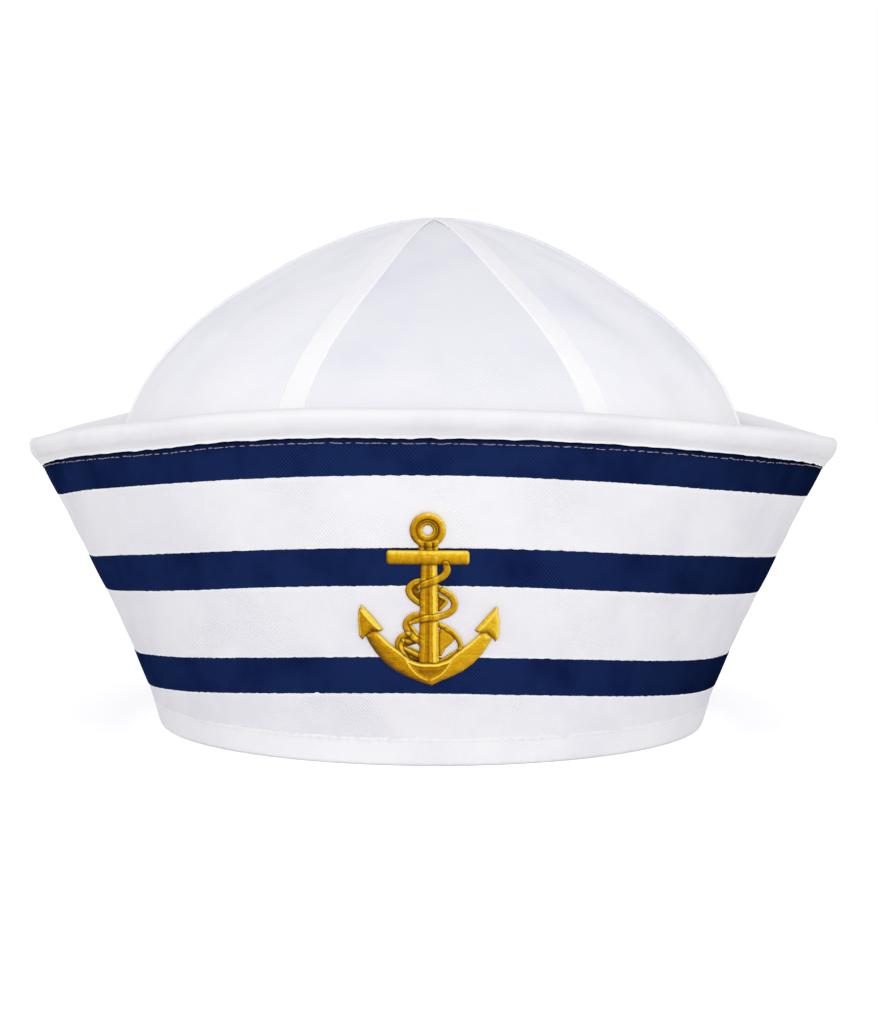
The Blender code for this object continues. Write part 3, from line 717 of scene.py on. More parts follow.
# The side gores are cut along another grain, and their wales hardly show
SIDE_TWILL = replace(
    CROWN_TWILL, name="bleached_cotton_drill_thin_side", thread="#f6f6fc", groove="#ebebf3", contrast=0.5,
)
HEM_TWILL = Twill(
    name="bleached_cotton_folded_hem", thread="#f5f4f6", groove="#edecf0", shade="#f8f8fb", relief_mm=0.02,
    contrast=0.3, painted_shading="#c9c9d2",
)
TAPE_CLOTH = Twill(
    name="bleached_cotton_bias_tape", thread="#fdfdfe", groove="#f7f7fa", shade="#fdfdff", wale_mm=0.5,
    yarn_mm=0.5, wale_angle=0.0, relief_mm=0.012, contrast=0.4, painted_shading="#e3e3f1",
)
NAVY_TWILL = Twill(
    name="navy_twill_ribbon", thread="#1e3060", groove="#0c1a42", shade="#c4c8d6", relief_mm=0.03,
    contrast=0.8, shade_mm=18.0, faintest=0.35, roughness=0.8, gloss=0.0, painted_shading="#03061c",
)


@dataclass(frozen=True)
class SewingThread:
    """Spun polyester sewing thread: round, slightly lustrous, twisted. It dims in patches over
    the cap, where it lies deeper in the cloth."""

    name: str
    colour: str
    twist_mm: float = 0.3
    twist_relief_mm: float = 0.05
    roughness: float = 0.6
    lustre: float = 0.2
    dimming: float = 0.8
    patch_mm: float = 2.0

    def material(self) -> bpy.types.Material:
        """A material with diagonal twist lines over places along and round each stitch."""
        values = {"Roughness": self.roughness, "Sheen Weight": self.lustre}
        material, tree, shader = start_material(self.name, values)
        cloth = add_node(tree, "UVMap", uv_map=CLOTH_MAP)
        rate = TURN / (self.twist_mm * MM)
        turn = add_node(tree, "VectorMath", {1: (rate, rate, 0.0)}, {0: cloth}, operation="DOT_PRODUCT")
        twist = add_node(tree, "Math", links={0: turn.outputs["Value"]}, operation="SINE")
        relief = {"Strength": 0.6, "Distance": self.twist_relief_mm * MM}
        bump = add_node(tree, "Bump", relief, {"Height": twist})
        place = add_node(tree, "TexCoord").outputs["Object"]
        patchy = add_node(tree, "TexNoise", {"Scale": 1.0 / (self.patch_mm * MM)}, {"Vector": place})
        red, green, blue, _ = (self.dimming * channel for channel in linear(self.colour))
        colour = add_node(
            tree, "Mix", {MIX_FIRST: (red, green, blue, 1.0), MIX_SECOND: linear(self.colour)},
            {MIX_FACTOR: patchy}, data_type="RGBA",
        )
        feed(shader, {"Normal": bump, "Base Color": colour.outputs[MIX_RESULT]})
        return material


WHITE_THREAD = SewingThread(name="white_sewing_thread", colour="#f4f4f7")
TAPE_THREAD = SewingThread(name="bleached_sewing_thread", colour="#fefefe", dimming=0.95)
ROSE_THREAD = SewingThread(name="pale_rose_sewing_thread", colour="#a89db3", dimming=0.45)


@dataclass
class BrimWall:
    """The turned-up brim: one wall of doubled cloth."""

    shape: BrimShape
    columns: int = 620
    row_spacing: float = 0.0013
    edge_rows: tuple[float, ...] = (-0.0009, -0.0004, 0.0, 0.0004, 0.0009)
    top: float = 0.0090
    foot: float = 0.0066
    last_row: float = 0.0855
    lower_rows: int = 20
    inner_rows: int = 16
    edge_highlight_width: float = 0.00045
    front_bright: float = 0.28
    front_width: float = 0.5
    bright_above: tuple[float, float] = (0.046, 0.066)
    weave: Waves = Waves(seed=11, amplitude=0.00006, shortest=0.006, longest=0.02, turn=0.70)

    def distances(self) -> Array:
        """Rows down the wall: even ones, with closer ones beside each ribbon's edges."""
        even = np.arange(self.top, self.last_row, self.row_spacing)
        edges = [edge + step for ribbon in RIBBONS for edge in ribbon[:2] for step in self.edge_rows]
        rows = np.concatenate([even, [edge for edge in edges if edge > self.top]])
        return np.unique(np.round(rows, 5))

    def build(self) -> Piece:
        """The wall's outer and inner faces, with painted highlights along the ribbons' edges, painted light
        high on the front and painted light all over the inner face.
        """
        azimuth = self.shape.azimuths(self.columns)
        rows = self.distances()
        upper = self.shape.height_below_rim(azimuth, rows)
        share = np.linspace(0.0, 1.0, self.lower_rows + 1)[1:]
        lower = upper[:, -1:] + (self.foot - upper[:, -1:]) * share
        outer = np.concatenate([upper, lower], axis=1)
        inner = outer[:, :1] + (self.foot - outer[:, :1]) * np.linspace(1.0, 0.0, self.inner_rows)
        near = np.full(upper.shape, np.inf)
        for ribbon in RIBBONS:
            for edge in ribbon.edges(azimuth):
                near = np.minimum(near, np.abs(rows - edge))
        # Painted light: a highlight along each ribbon's edge, a lighter front high on the wall, and the
        # inner face, shaded by the crown, painted brightest
        front = self.front_bright * bell(azimuth, self.front_width) * smooth_step(upper, *self.bright_above)
        painted_shading = np.concatenate([
            np.maximum(bell(near, self.edge_highlight_width), front), np.zeros(lower.shape), np.ones(inner.shape),
        ], axis=1)
        strips = [
            (outer, self.weave.at(self.weave.around(azimuth), outer)), (inner, -self.shape.wall_thickness),
        ]
        return self.shape.strip_ring("brim_cloth", "brim_wall", strips, painted_shading, Slot.TWILL)


@dataclass
class StripeRibbon:
    """One navy ribbon sewn round the brim, with slightly ragged edges."""

    shape: BrimShape
    number: int
    ribbon: Ribbon
    columns: int = 1500
    rows: int = 9
    back: float = 0.00003
    face: float = 0.00024
    edge_round: float = 0.04
    ragged: Waves = Waves(seed=0, amplitude=0.00007, shortest=0.0009, longest=0.005, count=24, turn=0.70)
    ragged_places: tuple[float, float] = (0.011, 0.037)
    shadow: float = 2.0
    shadow_width: float = 0.0011
    dim_sides: float = 0.45
    dimmer_right: float = 0.6
    roll_foot: float = 0.0088

    def build(self) -> Piece:
        """The ribbon's face and back as one closed ring, with painted shade towards the sides; the top one
        has a painted shadow under the roll.
        """
        azimuth = self.shape.azimuths(self.columns)
        apart = np.array([self.ragged_places]) * (self.number + 1)
        jag = self.ragged.at(self.ragged.around(azimuth), apart)
        upper, lower = self.ribbon.edges(azimuth)
        foot = self.roll_foot + swayed(LIP_DROPS, azimuth)
        upper = foot if self.number == 1 else upper + jag[:, :1]
        share = (1.0 - np.cos(np.linspace(0.0, math.pi, self.rows))) / 2.0
        distance = upper + (lower + jag[:, 1:] - upper) * share
        height = self.shape.height_below_rim(azimuth, distance)
        arch = np.sin(math.pi * (self.edge_round + (1.0 - 2.0 * self.edge_round) * share))
        crown = self.back + (self.face - self.back) * np.sqrt(arch)
        # Painted shade, deeper towards the sides and more on the right, and a painted shadow along the foot
        # of the roll
        side = np.sin(azimuth)
        dim = self.dim_sides * side ** 2 * (1.0 + self.dimmer_right * side)
        dark = np.clip(self.shadow * bell(distance - foot, self.shadow_width) + dim, 0.0, 1.0)
        return self.shape.strip_ring(
            f"navy_ribbon_{self.number}", f"stripe_ribbon_{self.number}",
            [(height, crown), (height[:, ::-1], self.back)],
            np.concatenate([dark, dark[:, ::-1]], axis=1), Slot.RIBBON,
        )


@dataclass
class RimRoll:
    """The padded roll along the rim, with a folded lip that is stitched down over the ribbon."""

    shape: BrimShape
    columns: int = 760
    # Corners of the section in millimetres: how far down the wall, and how far out from it
    outside: Spots = (
        (1.2, -1.2), (1.1, 0.1), (1.5, 1.2), (2.4, 2.1), (3.8, 2.4), (5.5, 2.0), (7.0, 1.2), (8.2, 0.5),
    )
    lip: Spots = ((8.8, 0.5), (9.1, 0.4), (9.0, 0.3), (8.8, 0.2), (8.6, -0.8))
    inside: Spots = ((8.6, -2.2), (7.4, -2.8), (6.0, -3.4), (4.3, -3.7), (2.7, -3.3), (1.5, -2.2))
    steps: int = 3
    lip_from: float = 0.0084
    lip_edge: float = 0.0090
    belly: float = 0.0045
    belly_width: float = 0.0035
    seam: float = 0.0083
    seam_width: float = 0.0016
    lumps: Waves = Waves(seed=21, amplitude=0.00010, shortest=0.007, longest=0.045, turn=0.83)
    lip_wander: Waves = Waves(
        seed=22, amplitude=0.00012, shortest=0.003, longest=0.02, count=20, turn=0.83
    )
    pucker: float = 0.00010
    pucker_pitch: float = 0.0042
    pucker_uneven: float = 0.4
    flatter_sides: float = 0.4
    flatter_out: tuple[float, float] = (0.0004, 0.0015)
    drop_from: float = 0.004
    swollen_above: tuple[float, float] = (0.001, 0.006)
    side_sag: float = 0.0014
    sag_at: float = 0.0040
    sag_width: float = 0.0028
    mean_radius: float = 0.132
    edge_width: float = 0.0003
    edge_out: float = 0.00035
    top_bright: float = 0.35
    top_between: tuple[float, float] = (0.0013, 0.0029)
    top_out: float = -0.0014
    band_bright: float = 0.35
    band_at: float = 0.0074
    band_width: float = 0.0012
    inside_bright: float = 0.8
    inside_between: tuple[float, float] = (0.0010, 0.0020)

    def build(self) -> Piece:
        """Carry the section round the rim, leaning with the wall, less plump at the sides."""
        azimuth = self.shape.azimuths(self.columns)
        around = self.lumps.around(azimuth)
        section = MM * smooth_path(np.array(self.outside + self.lip + self.inside), self.steps, closed=True)
        down, out = section[:, 0], section[:, 1]
        facing = out > 0.0
        folds = np.cos(np.round(self.lumps.turn / self.pucker_pitch) * azimuth)
        uneven = self.lumps.at(around, np.array([[0.3]])) / self.lumps.amplitude
        folds = folds * (1.0 - self.pucker_uneven + self.pucker_uneven * uneven)
        swell = self.lumps.at(around, down * np.sign(out) * 2.0) * bell(down - self.belly, self.belly_width)
        swell = swell - self.pucker * folds * bell(down - self.seam, self.seam_width) * facing
        sideways = np.sin(azimuth) ** 4
        plump = 1.0 - self.flatter_sides * sideways * smooth_step(out, *self.flatter_out)
        lip = self.lip_wander.at(around, 0.0 * down)
        lip = lip * smooth_step(down, self.lip_from, self.lip_edge) * facing
        drop = swayed(LIP_DROPS, azimuth) * smooth_step(down, self.drop_from, self.lip_from)
        swelling = swayed(ROLL_SWELLS, azimuth) * (1.0 - smooth_step(down, *self.swollen_above))
        sag = self.side_sag * sideways * bell(down - self.sag_at, self.sag_width) * facing
        outward = out * plump + swell * np.sign(out + 0.0001)
        points = self.leaning(azimuth, down + lip + drop - swelling + sag, outward)
        places = pair(azimuth * self.mean_radius, -run_along(section))
        # Painted light on the lip, the top and the inside
        bright = self.bright(down, out)[None, :]
        return ring_piece("rim_padding", "rim_roll", points, places, bright, Slot.TWILL)

    def leaning(self, azimuth: Array, down: Array, out: Array) -> Array:
        """Points at distances down the leaning wall from the rim and out from its face.

        Args:
            azimuth: a column of azimuths.
            down: distances down the wall.
            out: distances out from it.

        Returns:
            Points, azimuths by corners of the section.
        """
        rim = self.shape.rim_height(azimuth)
        _, lean = self.shape.share_out(azimuth, rim)
        tilt = np.arctan(lean)[..., None]
        outward = self.shape.outward(azimuth, rim)
        upright = np.array([0.0, 0.0, 1.0])
        face_out = outward * np.cos(tilt) - upright * np.sin(tilt)
        face_down = -outward * np.sin(tilt) - upright * np.cos(tilt)
        return self.shape.point(azimuth, rim, 0.0) + face_down * down[..., None] + face_out * out[..., None]

    def bright(self, down: Array, out: Array) -> Array:
        """Painted light on the roll's cloth: a highlight on the lip's edge, lighter along the top and in a
        band over the lip, and brightest all down the shaded inside."""
        edge = bell(down - self.lip_edge, self.edge_width) * (out > self.edge_out)
        top = self.top_bright * (1.0 - smooth_step(down, *self.top_between)) * (out > self.top_out)
        band = self.band_bright * bell(down - self.band_at, self.band_width) * (out > 0.0)
        return edge + top + band + self.inside_bright * smooth_step(-out, *self.inside_between)


@dataclass
class HemBand:
    """The folded hem that the cap rests on, stitched along its top edge."""

    shape: BrimShape
    columns: int = 1200
    # Corners of the section in millimetres: their height, and how far out from the wall
    outside: Spots = (
        (7.1, -0.12), (8.0, -0.06), (8.0, 0.02), (7.2, 0.10), (5.6, 0.16), (3.7, 0.18), (1.8, 0.14),
        (0.7, 0.0),
    )
    foot: Spots = ((0.1, -0.5), (0.0, -1.0), (0.0, -2.2), (0.3, -2.9))
    inside: Spots = ((1.2, -3.3), (3.8, -3.7), (6.2, -4.0), (6.6, -3.6), (6.6, -1.8))
    steps: int = 2
    stitch_height: float = 0.0070
    stitch_pitch: float = 0.0031
    dimple_depth: float = 0.00014
    dimple_width: float = 0.00045
    dimple_dark: float = 0.45
    drag: float = 0.00003
    drag_width: float = 0.0016
    side_bite: float = 0.15
    mean_bite: float = 0.6
    least_bite: float = 0.1
    outer_from: tuple[float, float] = (-0.0003, -0.00002)
    top_from: tuple[float, float] = (0.0062, 0.0074)
    mean_radius: float = 0.0936
    patchy: Waves = Waves(seed=32, amplitude=0.6, shortest=0.012, longest=0.05, count=20, turn=0.59)
    top_wander: Waves = Waves(
        seed=31, amplitude=0.00010, shortest=0.004, longest=0.03, count=20, turn=0.59
    )

    def stitch_count(self) -> int:
        """How many stitches go round."""
        return round(self.top_wander.turn / self.stitch_pitch)

    def build(self) -> Piece:
        """Carry the section round the hem, dimpled where each stitch goes in, with painted shade in each
        dimple.
        """
        azimuth = self.shape.azimuths(self.columns)
        around = self.top_wander.around(azimuth)
        section = MM * smooth_path(np.array(self.outside + self.foot + self.inside), self.steps, closed=True)
        height, out = np.maximum(section[:, 0], 0.0), section[:, 1]
        outer = smooth_step(out, *self.outer_from)
        phase = azimuth * self.stitch_count() / TURN
        to_hole = (phase - np.round(phase)) * self.stitch_pitch
        # The stitches bite less at the sides, and unevenly all round
        bite = np.clip(self.mean_bite + self.patchy.at(around, 0.0 * around), self.least_bite, 1.0)
        bite = bite * (self.side_bite + (1.0 - self.side_bite) * np.cos(azimuth) ** 2)
        hole = bite * bell(np.hypot(to_hole, height - self.stitch_height), self.dimple_width)
        drag = bite * np.cos(TURN * phase) * bell(height - self.stitch_height, self.drag_width)
        sunk = outer * (self.dimple_depth * hole + self.drag * drag)
        top = smooth_step(height, *self.top_from) * outer
        height = height + self.top_wander.at(around, 0.0 * height) * top
        points = self.shape.point(azimuth, height, out - sunk)
        places = pair(azimuth * self.mean_radius, -run_along(section))
        # Painted shade in the needle dimples
        dark = self.dimple_dark * hole * outer
        return ring_piece("hem_fold", "hem_band", points, places, dark, Slot.TWILL)


@dataclass
class Stitches:
    """A row of stitches as one piece: short lengths of thread, thick in the middle."""

    name: str
    radius: float
    sink: float
    sides: int = 6
    rings: int = 5
    blunt: float = 0.96

    def build(self, middles: Array, headings: Array, outward: Array, lengths: Array) -> Piece:
        """Make every stitch from the same few rings.

        A ring at t, from -1 to 1 along the stitch, has the radius times (1 - t^4) to the half,
        and bows out by a share of the radius times 1 - t squared.

        Args:
            middles: each stitch's middle, on the cloth.
            headings: unit vectors along the stitches.
            outward: unit vectors out of the cloth.
            lengths: the stitches' lengths.

        Returns:
            The piece, with no node to replace.
        """
        along = np.linspace(-self.blunt, self.blunt, self.rings)
        angle = np.linspace(0.0, TURN, self.sides, endpoint=False)[:, None]
        beside = np.cross(headings, outward)
        thick = self.radius * np.sqrt(1.0 - along ** 4)
        bow = self.radius * (1.0 - along ** 2) - self.sink
        halves = (headings * lengths[:, None] / 2.0)[:, None, :]
        centre = middles[:, None, :] + halves * along[:, None] + outward[:, None, :] * bow[:, None]
        turn = outward[:, None, None, :] * np.cos(angle) + beside[:, None, None, :] * np.sin(angle)
        body = centre[:, :, None, :] + turn * thick[None, :, None, None]
        tips = middles[:, None, :] + halves * np.array([[-1.0], [1.0]]) - outward[:, None, :] * self.sink
        count = len(middles)
        points = np.concatenate([body.reshape(count, -1, 3), tips], axis=1)
        girth = np.linspace(0.0, TURN * self.radius, self.sides + 1)
        places = pair(along[:, None] * 0.5 * lengths.mean(), girth)
        tube = grid_surface(self.rings, self.sides, places, False)
        corner = np.arange(self.sides)
        beyond = (corner + 1) % self.sides
        last = (self.rings - 1) * self.sides
        start, end = (np.full(self.sides, points.shape[1] - back) for back in (2, 1))
        caps = np.concatenate([
            np.stack([beyond, corner, start], axis=1), np.stack([last + corner, last + beyond, end], axis=1),
        ])
        shift = (np.arange(count) * points.shape[1])[:, None, None]
        surfaces = [
            Surface((tube.faces + shift).reshape(-1, 4), np.tile(tube.places, (count, 1, 1))),
            Surface((caps + shift).reshape(-1, 3), np.zeros((count * len(caps), 3, 2))),
        ]
        return Piece(self.name, points, surfaces)


@dataclass
class RimStitching:
    """The row of pale stitches on the top ribbon, close under the roll."""

    shape: BrimShape
    below_lip: float = 0.00165
    pitch: float = 0.0018
    turn: float = 0.81
    shortest: float = 0.62
    longest: float = 1.12
    uneven: float = 0.25
    wander: float = 0.00006
    slant: float = 0.006
    radius: float = 0.00014
    sunk: float = 0.45
    cloth_face: float = 0.00024
    step: float = 0.0005
    seed: int = 41

    def build(self) -> Piece:
        """Stitches of uneven length and place, some of them nearly joined."""
        rng = np.random.default_rng(self.seed)
        count = round(self.turn / self.pitch)
        azimuth = (np.arange(count) + self.uneven * rng.standard_normal(count)) * TURN / count - math.pi
        azimuth = azimuth[:, None]
        foot = RIBBONS[0].upper + self.below_lip + swayed(LIP_DROPS + STITCHES_CLOSE, azimuth)
        distance = foot + self.wander * rng.standard_normal((count, 1))
        level = self.shape.height_below_rim(azimuth, distance)
        middle = self.shape.point(azimuth, level, self.cloth_face)[:, 0]
        distance = distance + self.slant * self.step * rng.standard_normal((count, 1))
        ahead_level = self.shape.height_below_rim(azimuth + self.step, distance)
        ahead = self.shape.point(azimuth + self.step, ahead_level, self.cloth_face)[:, 0]
        lengths = self.pitch * rng.uniform(self.shortest, self.longest, count)
        maker = Stitches("rim_stitches", radius=self.radius, sink=self.sunk * self.radius)
        return maker.build(middle, unit(ahead - middle), self.shape.outward(azimuth, level)[:, 0], lengths)


@dataclass
class HemStitching:
    """The stitches along the hem's top edge, each sunk between two needle holes."""

    shape: BrimShape
    hem: HemBand
    face: float = 0.00008
    radius: float = 0.00010
    sunk: float = 0.9
    step: float = 0.002
    share_of_pitch: float = 0.82

    def build(self) -> Piece:
        """One stitch between each two dimples of the hem."""
        count = self.hem.stitch_count()
        azimuth = (np.arange(count) + 0.5) * TURN / count - math.pi
        level = np.full(count, self.hem.stitch_height)
        middle = self.shape.point(azimuth, level, self.face)
        ahead = self.shape.point(azimuth + self.step, level, self.face) - middle
        lengths = np.linalg.norm(ahead, axis=1) / self.step * TURN / count * self.share_of_pitch
        maker = Stitches("hem_stitches", radius=self.radius, sink=self.sunk * self.radius)
        return maker.build(middle, unit(ahead), self.shape.outward(azimuth, level), lengths)


class Seam(NamedTuple):
    """A seam's azimuth at the hem, and the line that it draws towards as it climbs, in degrees."""

    azimuth: float
    drawn_to: float


class Fold(NamedTuple):
    """A soft fold in a gore: its place across at the top and the foot, and its size."""

    gore: int
    place_above: float
    place_below: float
    half_width: float
    depth: float


class Settling(NamedTuple):
    """A soft place where the crown has sunk, or swelled where the depth is negative."""

    across: float
    half_width: float
    depth: float


@dataclass(frozen=True)
class CrownShape:
    """The crown's outer face: oval sections on a smooth curve, divided by drawn-in seams."""

    # Down to the rim each level section has a half width and a height, and this aspect; below
    # it, where the brim hides it, a half width, a half length and a height
    aspect: float = 1.165
    oval_rows: Spots = (
        (0.0, 0.1573), (0.0182, 0.1551), (0.0384, 0.1477), (0.0579, 0.1364), (0.0741, 0.1248),
        (0.0862, 0.1120), (0.0935, 0.0992),
    )
    lower_rows: tuple[tuple[float, float, float], ...] = (
        (0.0973, 0.1132, 0.0870), (0.0981, 0.1140, 0.0740), (0.0962, 0.1123, 0.0560),
        (0.0917, 0.1078, 0.0320), (0.0845, 0.1005, 0.0068),
    )
    seams: tuple[Seam, ...] = (
        Seam(-25.0, 0.0), Seam(29.5, 0.0), Seam(84.0, 66.0), Seam(150.0, 180.0), Seam(209.0, 180.0),
        Seam(272.0, 294.0),
    )
    draw: float = 0.45
    draw_power: float = 1.5
    draw_from: float = 0.0967
    normal_step: float = 0.01
    settlings: tuple[Settling, ...] = (
        Settling(-0.044, 0.024, 0.0010), Settling(-0.080, 0.012, 0.0006), Settling(-0.022, 0.022, 0.0005),
        Settling(0.074, 0.012, -0.0001),
    )
    settling_length: float = 0.08

    def sections(self) -> Array:
        """All the level sections, one row each."""
        oval = [(half, half * self.aspect, height) for half, height in self.oval_rows]
        return np.array(oval + list(self.lower_rows))

    def last_row(self) -> float:
        """The number of the lowest section."""
        return len(self.oval_rows) + len(self.lower_rows) - 1.0

    def section(self, row: Array) -> Array:
        """Half width, half length and height at places between the sections.

        The sections are joined by a Catmull-Rom curve that is mirrored at the top.

        Args:
            row: places down the crown, in sections.

        Returns:
            The three sizes, last.
        """
        knots = self.sections()
        knots = np.vstack([knots[1] * np.array([-1.0, -1.0, 1.0]), knots, 2.0 * knots[-1] - knots[-2]])
        row = np.clip(row, 0.0, self.last_row())
        first = np.minimum(row.astype(int), int(self.last_row()) - 1)
        return catmull_rom([knots[first + step] for step in range(4)], (row - first)[..., None])

    def surface(self, azimuth: Array, row: Array) -> Array:
        """Points of the outer face itself."""
        half_width, half_length, height = np.moveaxis(self.section(row), -1, 0)
        return np.stack([half_width * np.sin(azimuth), -half_length * np.cos(azimuth), height], axis=-1)

    def normal(self, azimuth: Array, row: Array) -> Array:
        """Outward unit normals, from two short steps over the surface."""
        step = self.normal_step
        near = np.clip(row, 2.0 * step, self.last_row() - step)
        around = self.surface(azimuth + step, near) - self.surface(azimuth - step, near)
        downward = self.surface(azimuth, near + step) - self.surface(azimuth, near - step)
        return unit(np.cross(downward, around))

    def point(self, azimuth: Array, row: Array, lift: Array | float) -> Array:
        """Points raised from the outer face along its normal, less what has settled there."""
        azimuth, row, lift = np.broadcast_arrays(azimuth, row, lift)
        place = self.surface(azimuth, row)
        for spot in self.settlings:
            beside = bell(place[..., 0] - spot.across, spot.half_width)
            lift = lift - spot.depth * beside * bell(place[..., 1], self.settling_length)
        return place + self.normal(azimuth, row) * lift[..., None]

    def radius(self, azimuth: Array, row: Array) -> Array:
        """How far a point moves for each radian of azimuth."""
        half_width, half_length, _ = np.moveaxis(self.section(row), -1, 0)
        return np.hypot(half_width * np.cos(azimuth), half_length * np.sin(azimuth))

    def seam_azimuth(self, seam: Seam, row: Array) -> Array:
        """Azimuth of a seam, drawn in by a power of its climb above the rim."""
        height = self.section(row)[..., 2]
        climb = np.clip((height - self.draw_from) / (self.oval_rows[0][1] - self.draw_from), 0.0, 1.0)
        swing = math.radians(seam.azimuth - seam.drawn_to)
        return math.radians(seam.drawn_to) + swing * (1.0 - self.draw * climb ** self.draw_power)


@dataclass
class Gore:
    """One panel of the crown, slack between its seams and puckered beside them."""

    shape: CrownShape
    number: int
    rows: int = 100
    columns: int = 70
    top_row: float = 0.02
    closer_above: float = 1.1
    thickness: float = 0.0010
    seam_gap: float = 0.0002
    full_between: tuple[float, float] = (0.003, 0.022)
    under_tapes: float = 0.00025
    flattening: float = 0.0010
    folds: tuple[Fold, ...] = (
        Fold(2, 0.25, 0.60, 0.12, 0.0009), Fold(2, 0.62, 0.84, 0.08, 0.0004),
        Fold(4, 0.45, 0.55, 0.13, 0.0010), Fold(5, 0.70, 0.40, 0.11, 0.0011),
        Fold(6, 0.60, 0.45, 0.14, 0.0008), Fold(6, 0.25, 0.30, 0.08, 0.0003),
    )
    slack: float = 0.00028
    pucker: float = 0.00012
    pucker_pitch: float = 0.0065
    pucker_from_seam: float = 0.003
    pucker_reach: float = 0.005
    bright_below: tuple[float, float] = (0.098, 0.116)
    brightest: float = 0.42
    cloth_apart: tuple[float, float] = (0.31, 0.17)

    def build(self) -> Piece:
        """The panel between its two seams; its foot, which the brim shades, gets painted light and is the
        brightest.
        """
        shape = self.shape
        fall = np.linspace(0.0, 1.0, self.rows)[:, None]
        row = self.top_row + (shape.last_row() - self.top_row) * fall ** self.closer_above
        start = shape.seam_azimuth(shape.seams[self.number - 1], row)
        end = shape.seam_azimuth(shape.seams[self.number % len(shape.seams)], row)
        end = np.where(end < start, end + TURN, end)
        start = start + self.seam_gap / 2.0 / shape.radius(start, row)
        end = end - self.seam_gap / 2.0 / shape.radius(end, row)
        share = np.linspace(0.0, 1.0, self.columns)[None, :]
        azimuth = start + (end - start) * share
        # The length of cloth from the top to each row, down the side
        down = run_along(shape.section(row[:, 0])[:, [0, 2]])[:, None]
        width = (end - start) * shape.radius((start + end) / 2.0, row)
        sink = self.sink(share, fall, down, width)
        outer, inner = (shape.point(azimuth, row, -sink - below) for below in (0.0, self.thickness))
        places = pair((share - 0.5) * width, -down) + np.array(self.cloth_apart) * self.number
        # Painted light on the foot, lifting the brim's shade
        bright = self.brightest * (1.0 - smooth_step(outer[..., 2], *self.bright_below))
        return shell_piece(
            f"crown_panel_{self.number}", f"crown_gore_{self.number}", (outer, inner), places,
            np.concatenate([bright, bright[:, ::-1]], axis=1), Slot.TWILL,
        )

    def sink(self, share: Array, fall: Array, down: Array, width: Array) -> Array:
        """How far the panel lies inside the full shape: flattening, folds, slack and puckers.

        Args:
            share: place across, from one seam to the next.
            fall: place down, from the top to the foot.
            down: length of cloth from the top.
            width: the panel's width.

        Returns:
            Depths.
        """
        ends = np.sqrt(np.sin(math.pi * np.clip(fall, 0.0, 1.0))) * smooth_step(down, *self.full_between)
        between = np.sin(math.pi * share) ** 2
        depth = self.under_tapes + self.flattening * between * ends
        for fold in self.folds:
            if fold.gore == self.number:
                place = fold.place_above + (fold.place_below - fold.place_above) * fall
                depth = depth + fold.depth * ends * bell(share - place, fold.half_width)
        slack = Waves(seed=50 + self.number, amplitude=self.slack, shortest=0.018, longest=0.07)
        depth = depth + slack.at((share - 0.5) * width, down) * between * ends
        to_seam = np.minimum(share, 1.0 - share) * width
        uneven = Waves(seed=60 + self.number, amplitude=0.8, shortest=0.01, longest=0.05)
        ruck = np.cos(TURN * down / self.pucker_pitch + 2.0 * uneven.at(down, to_seam))
        reach = bell(to_seam - self.pucker_from_seam, self.pucker_reach)
        return depth + self.pucker * ruck * reach * np.sqrt(between) * ends


class TapeWidth(NamedTuple):
    """Half a tape's width at a place down the crown, in sections."""

    row: float
    half: float


class TapeGrid(NamedTuple):
    """A tape's number, and the azimuths and rows of its points, rows by places across."""

    number: int
    azimuth: Array
    row: Array


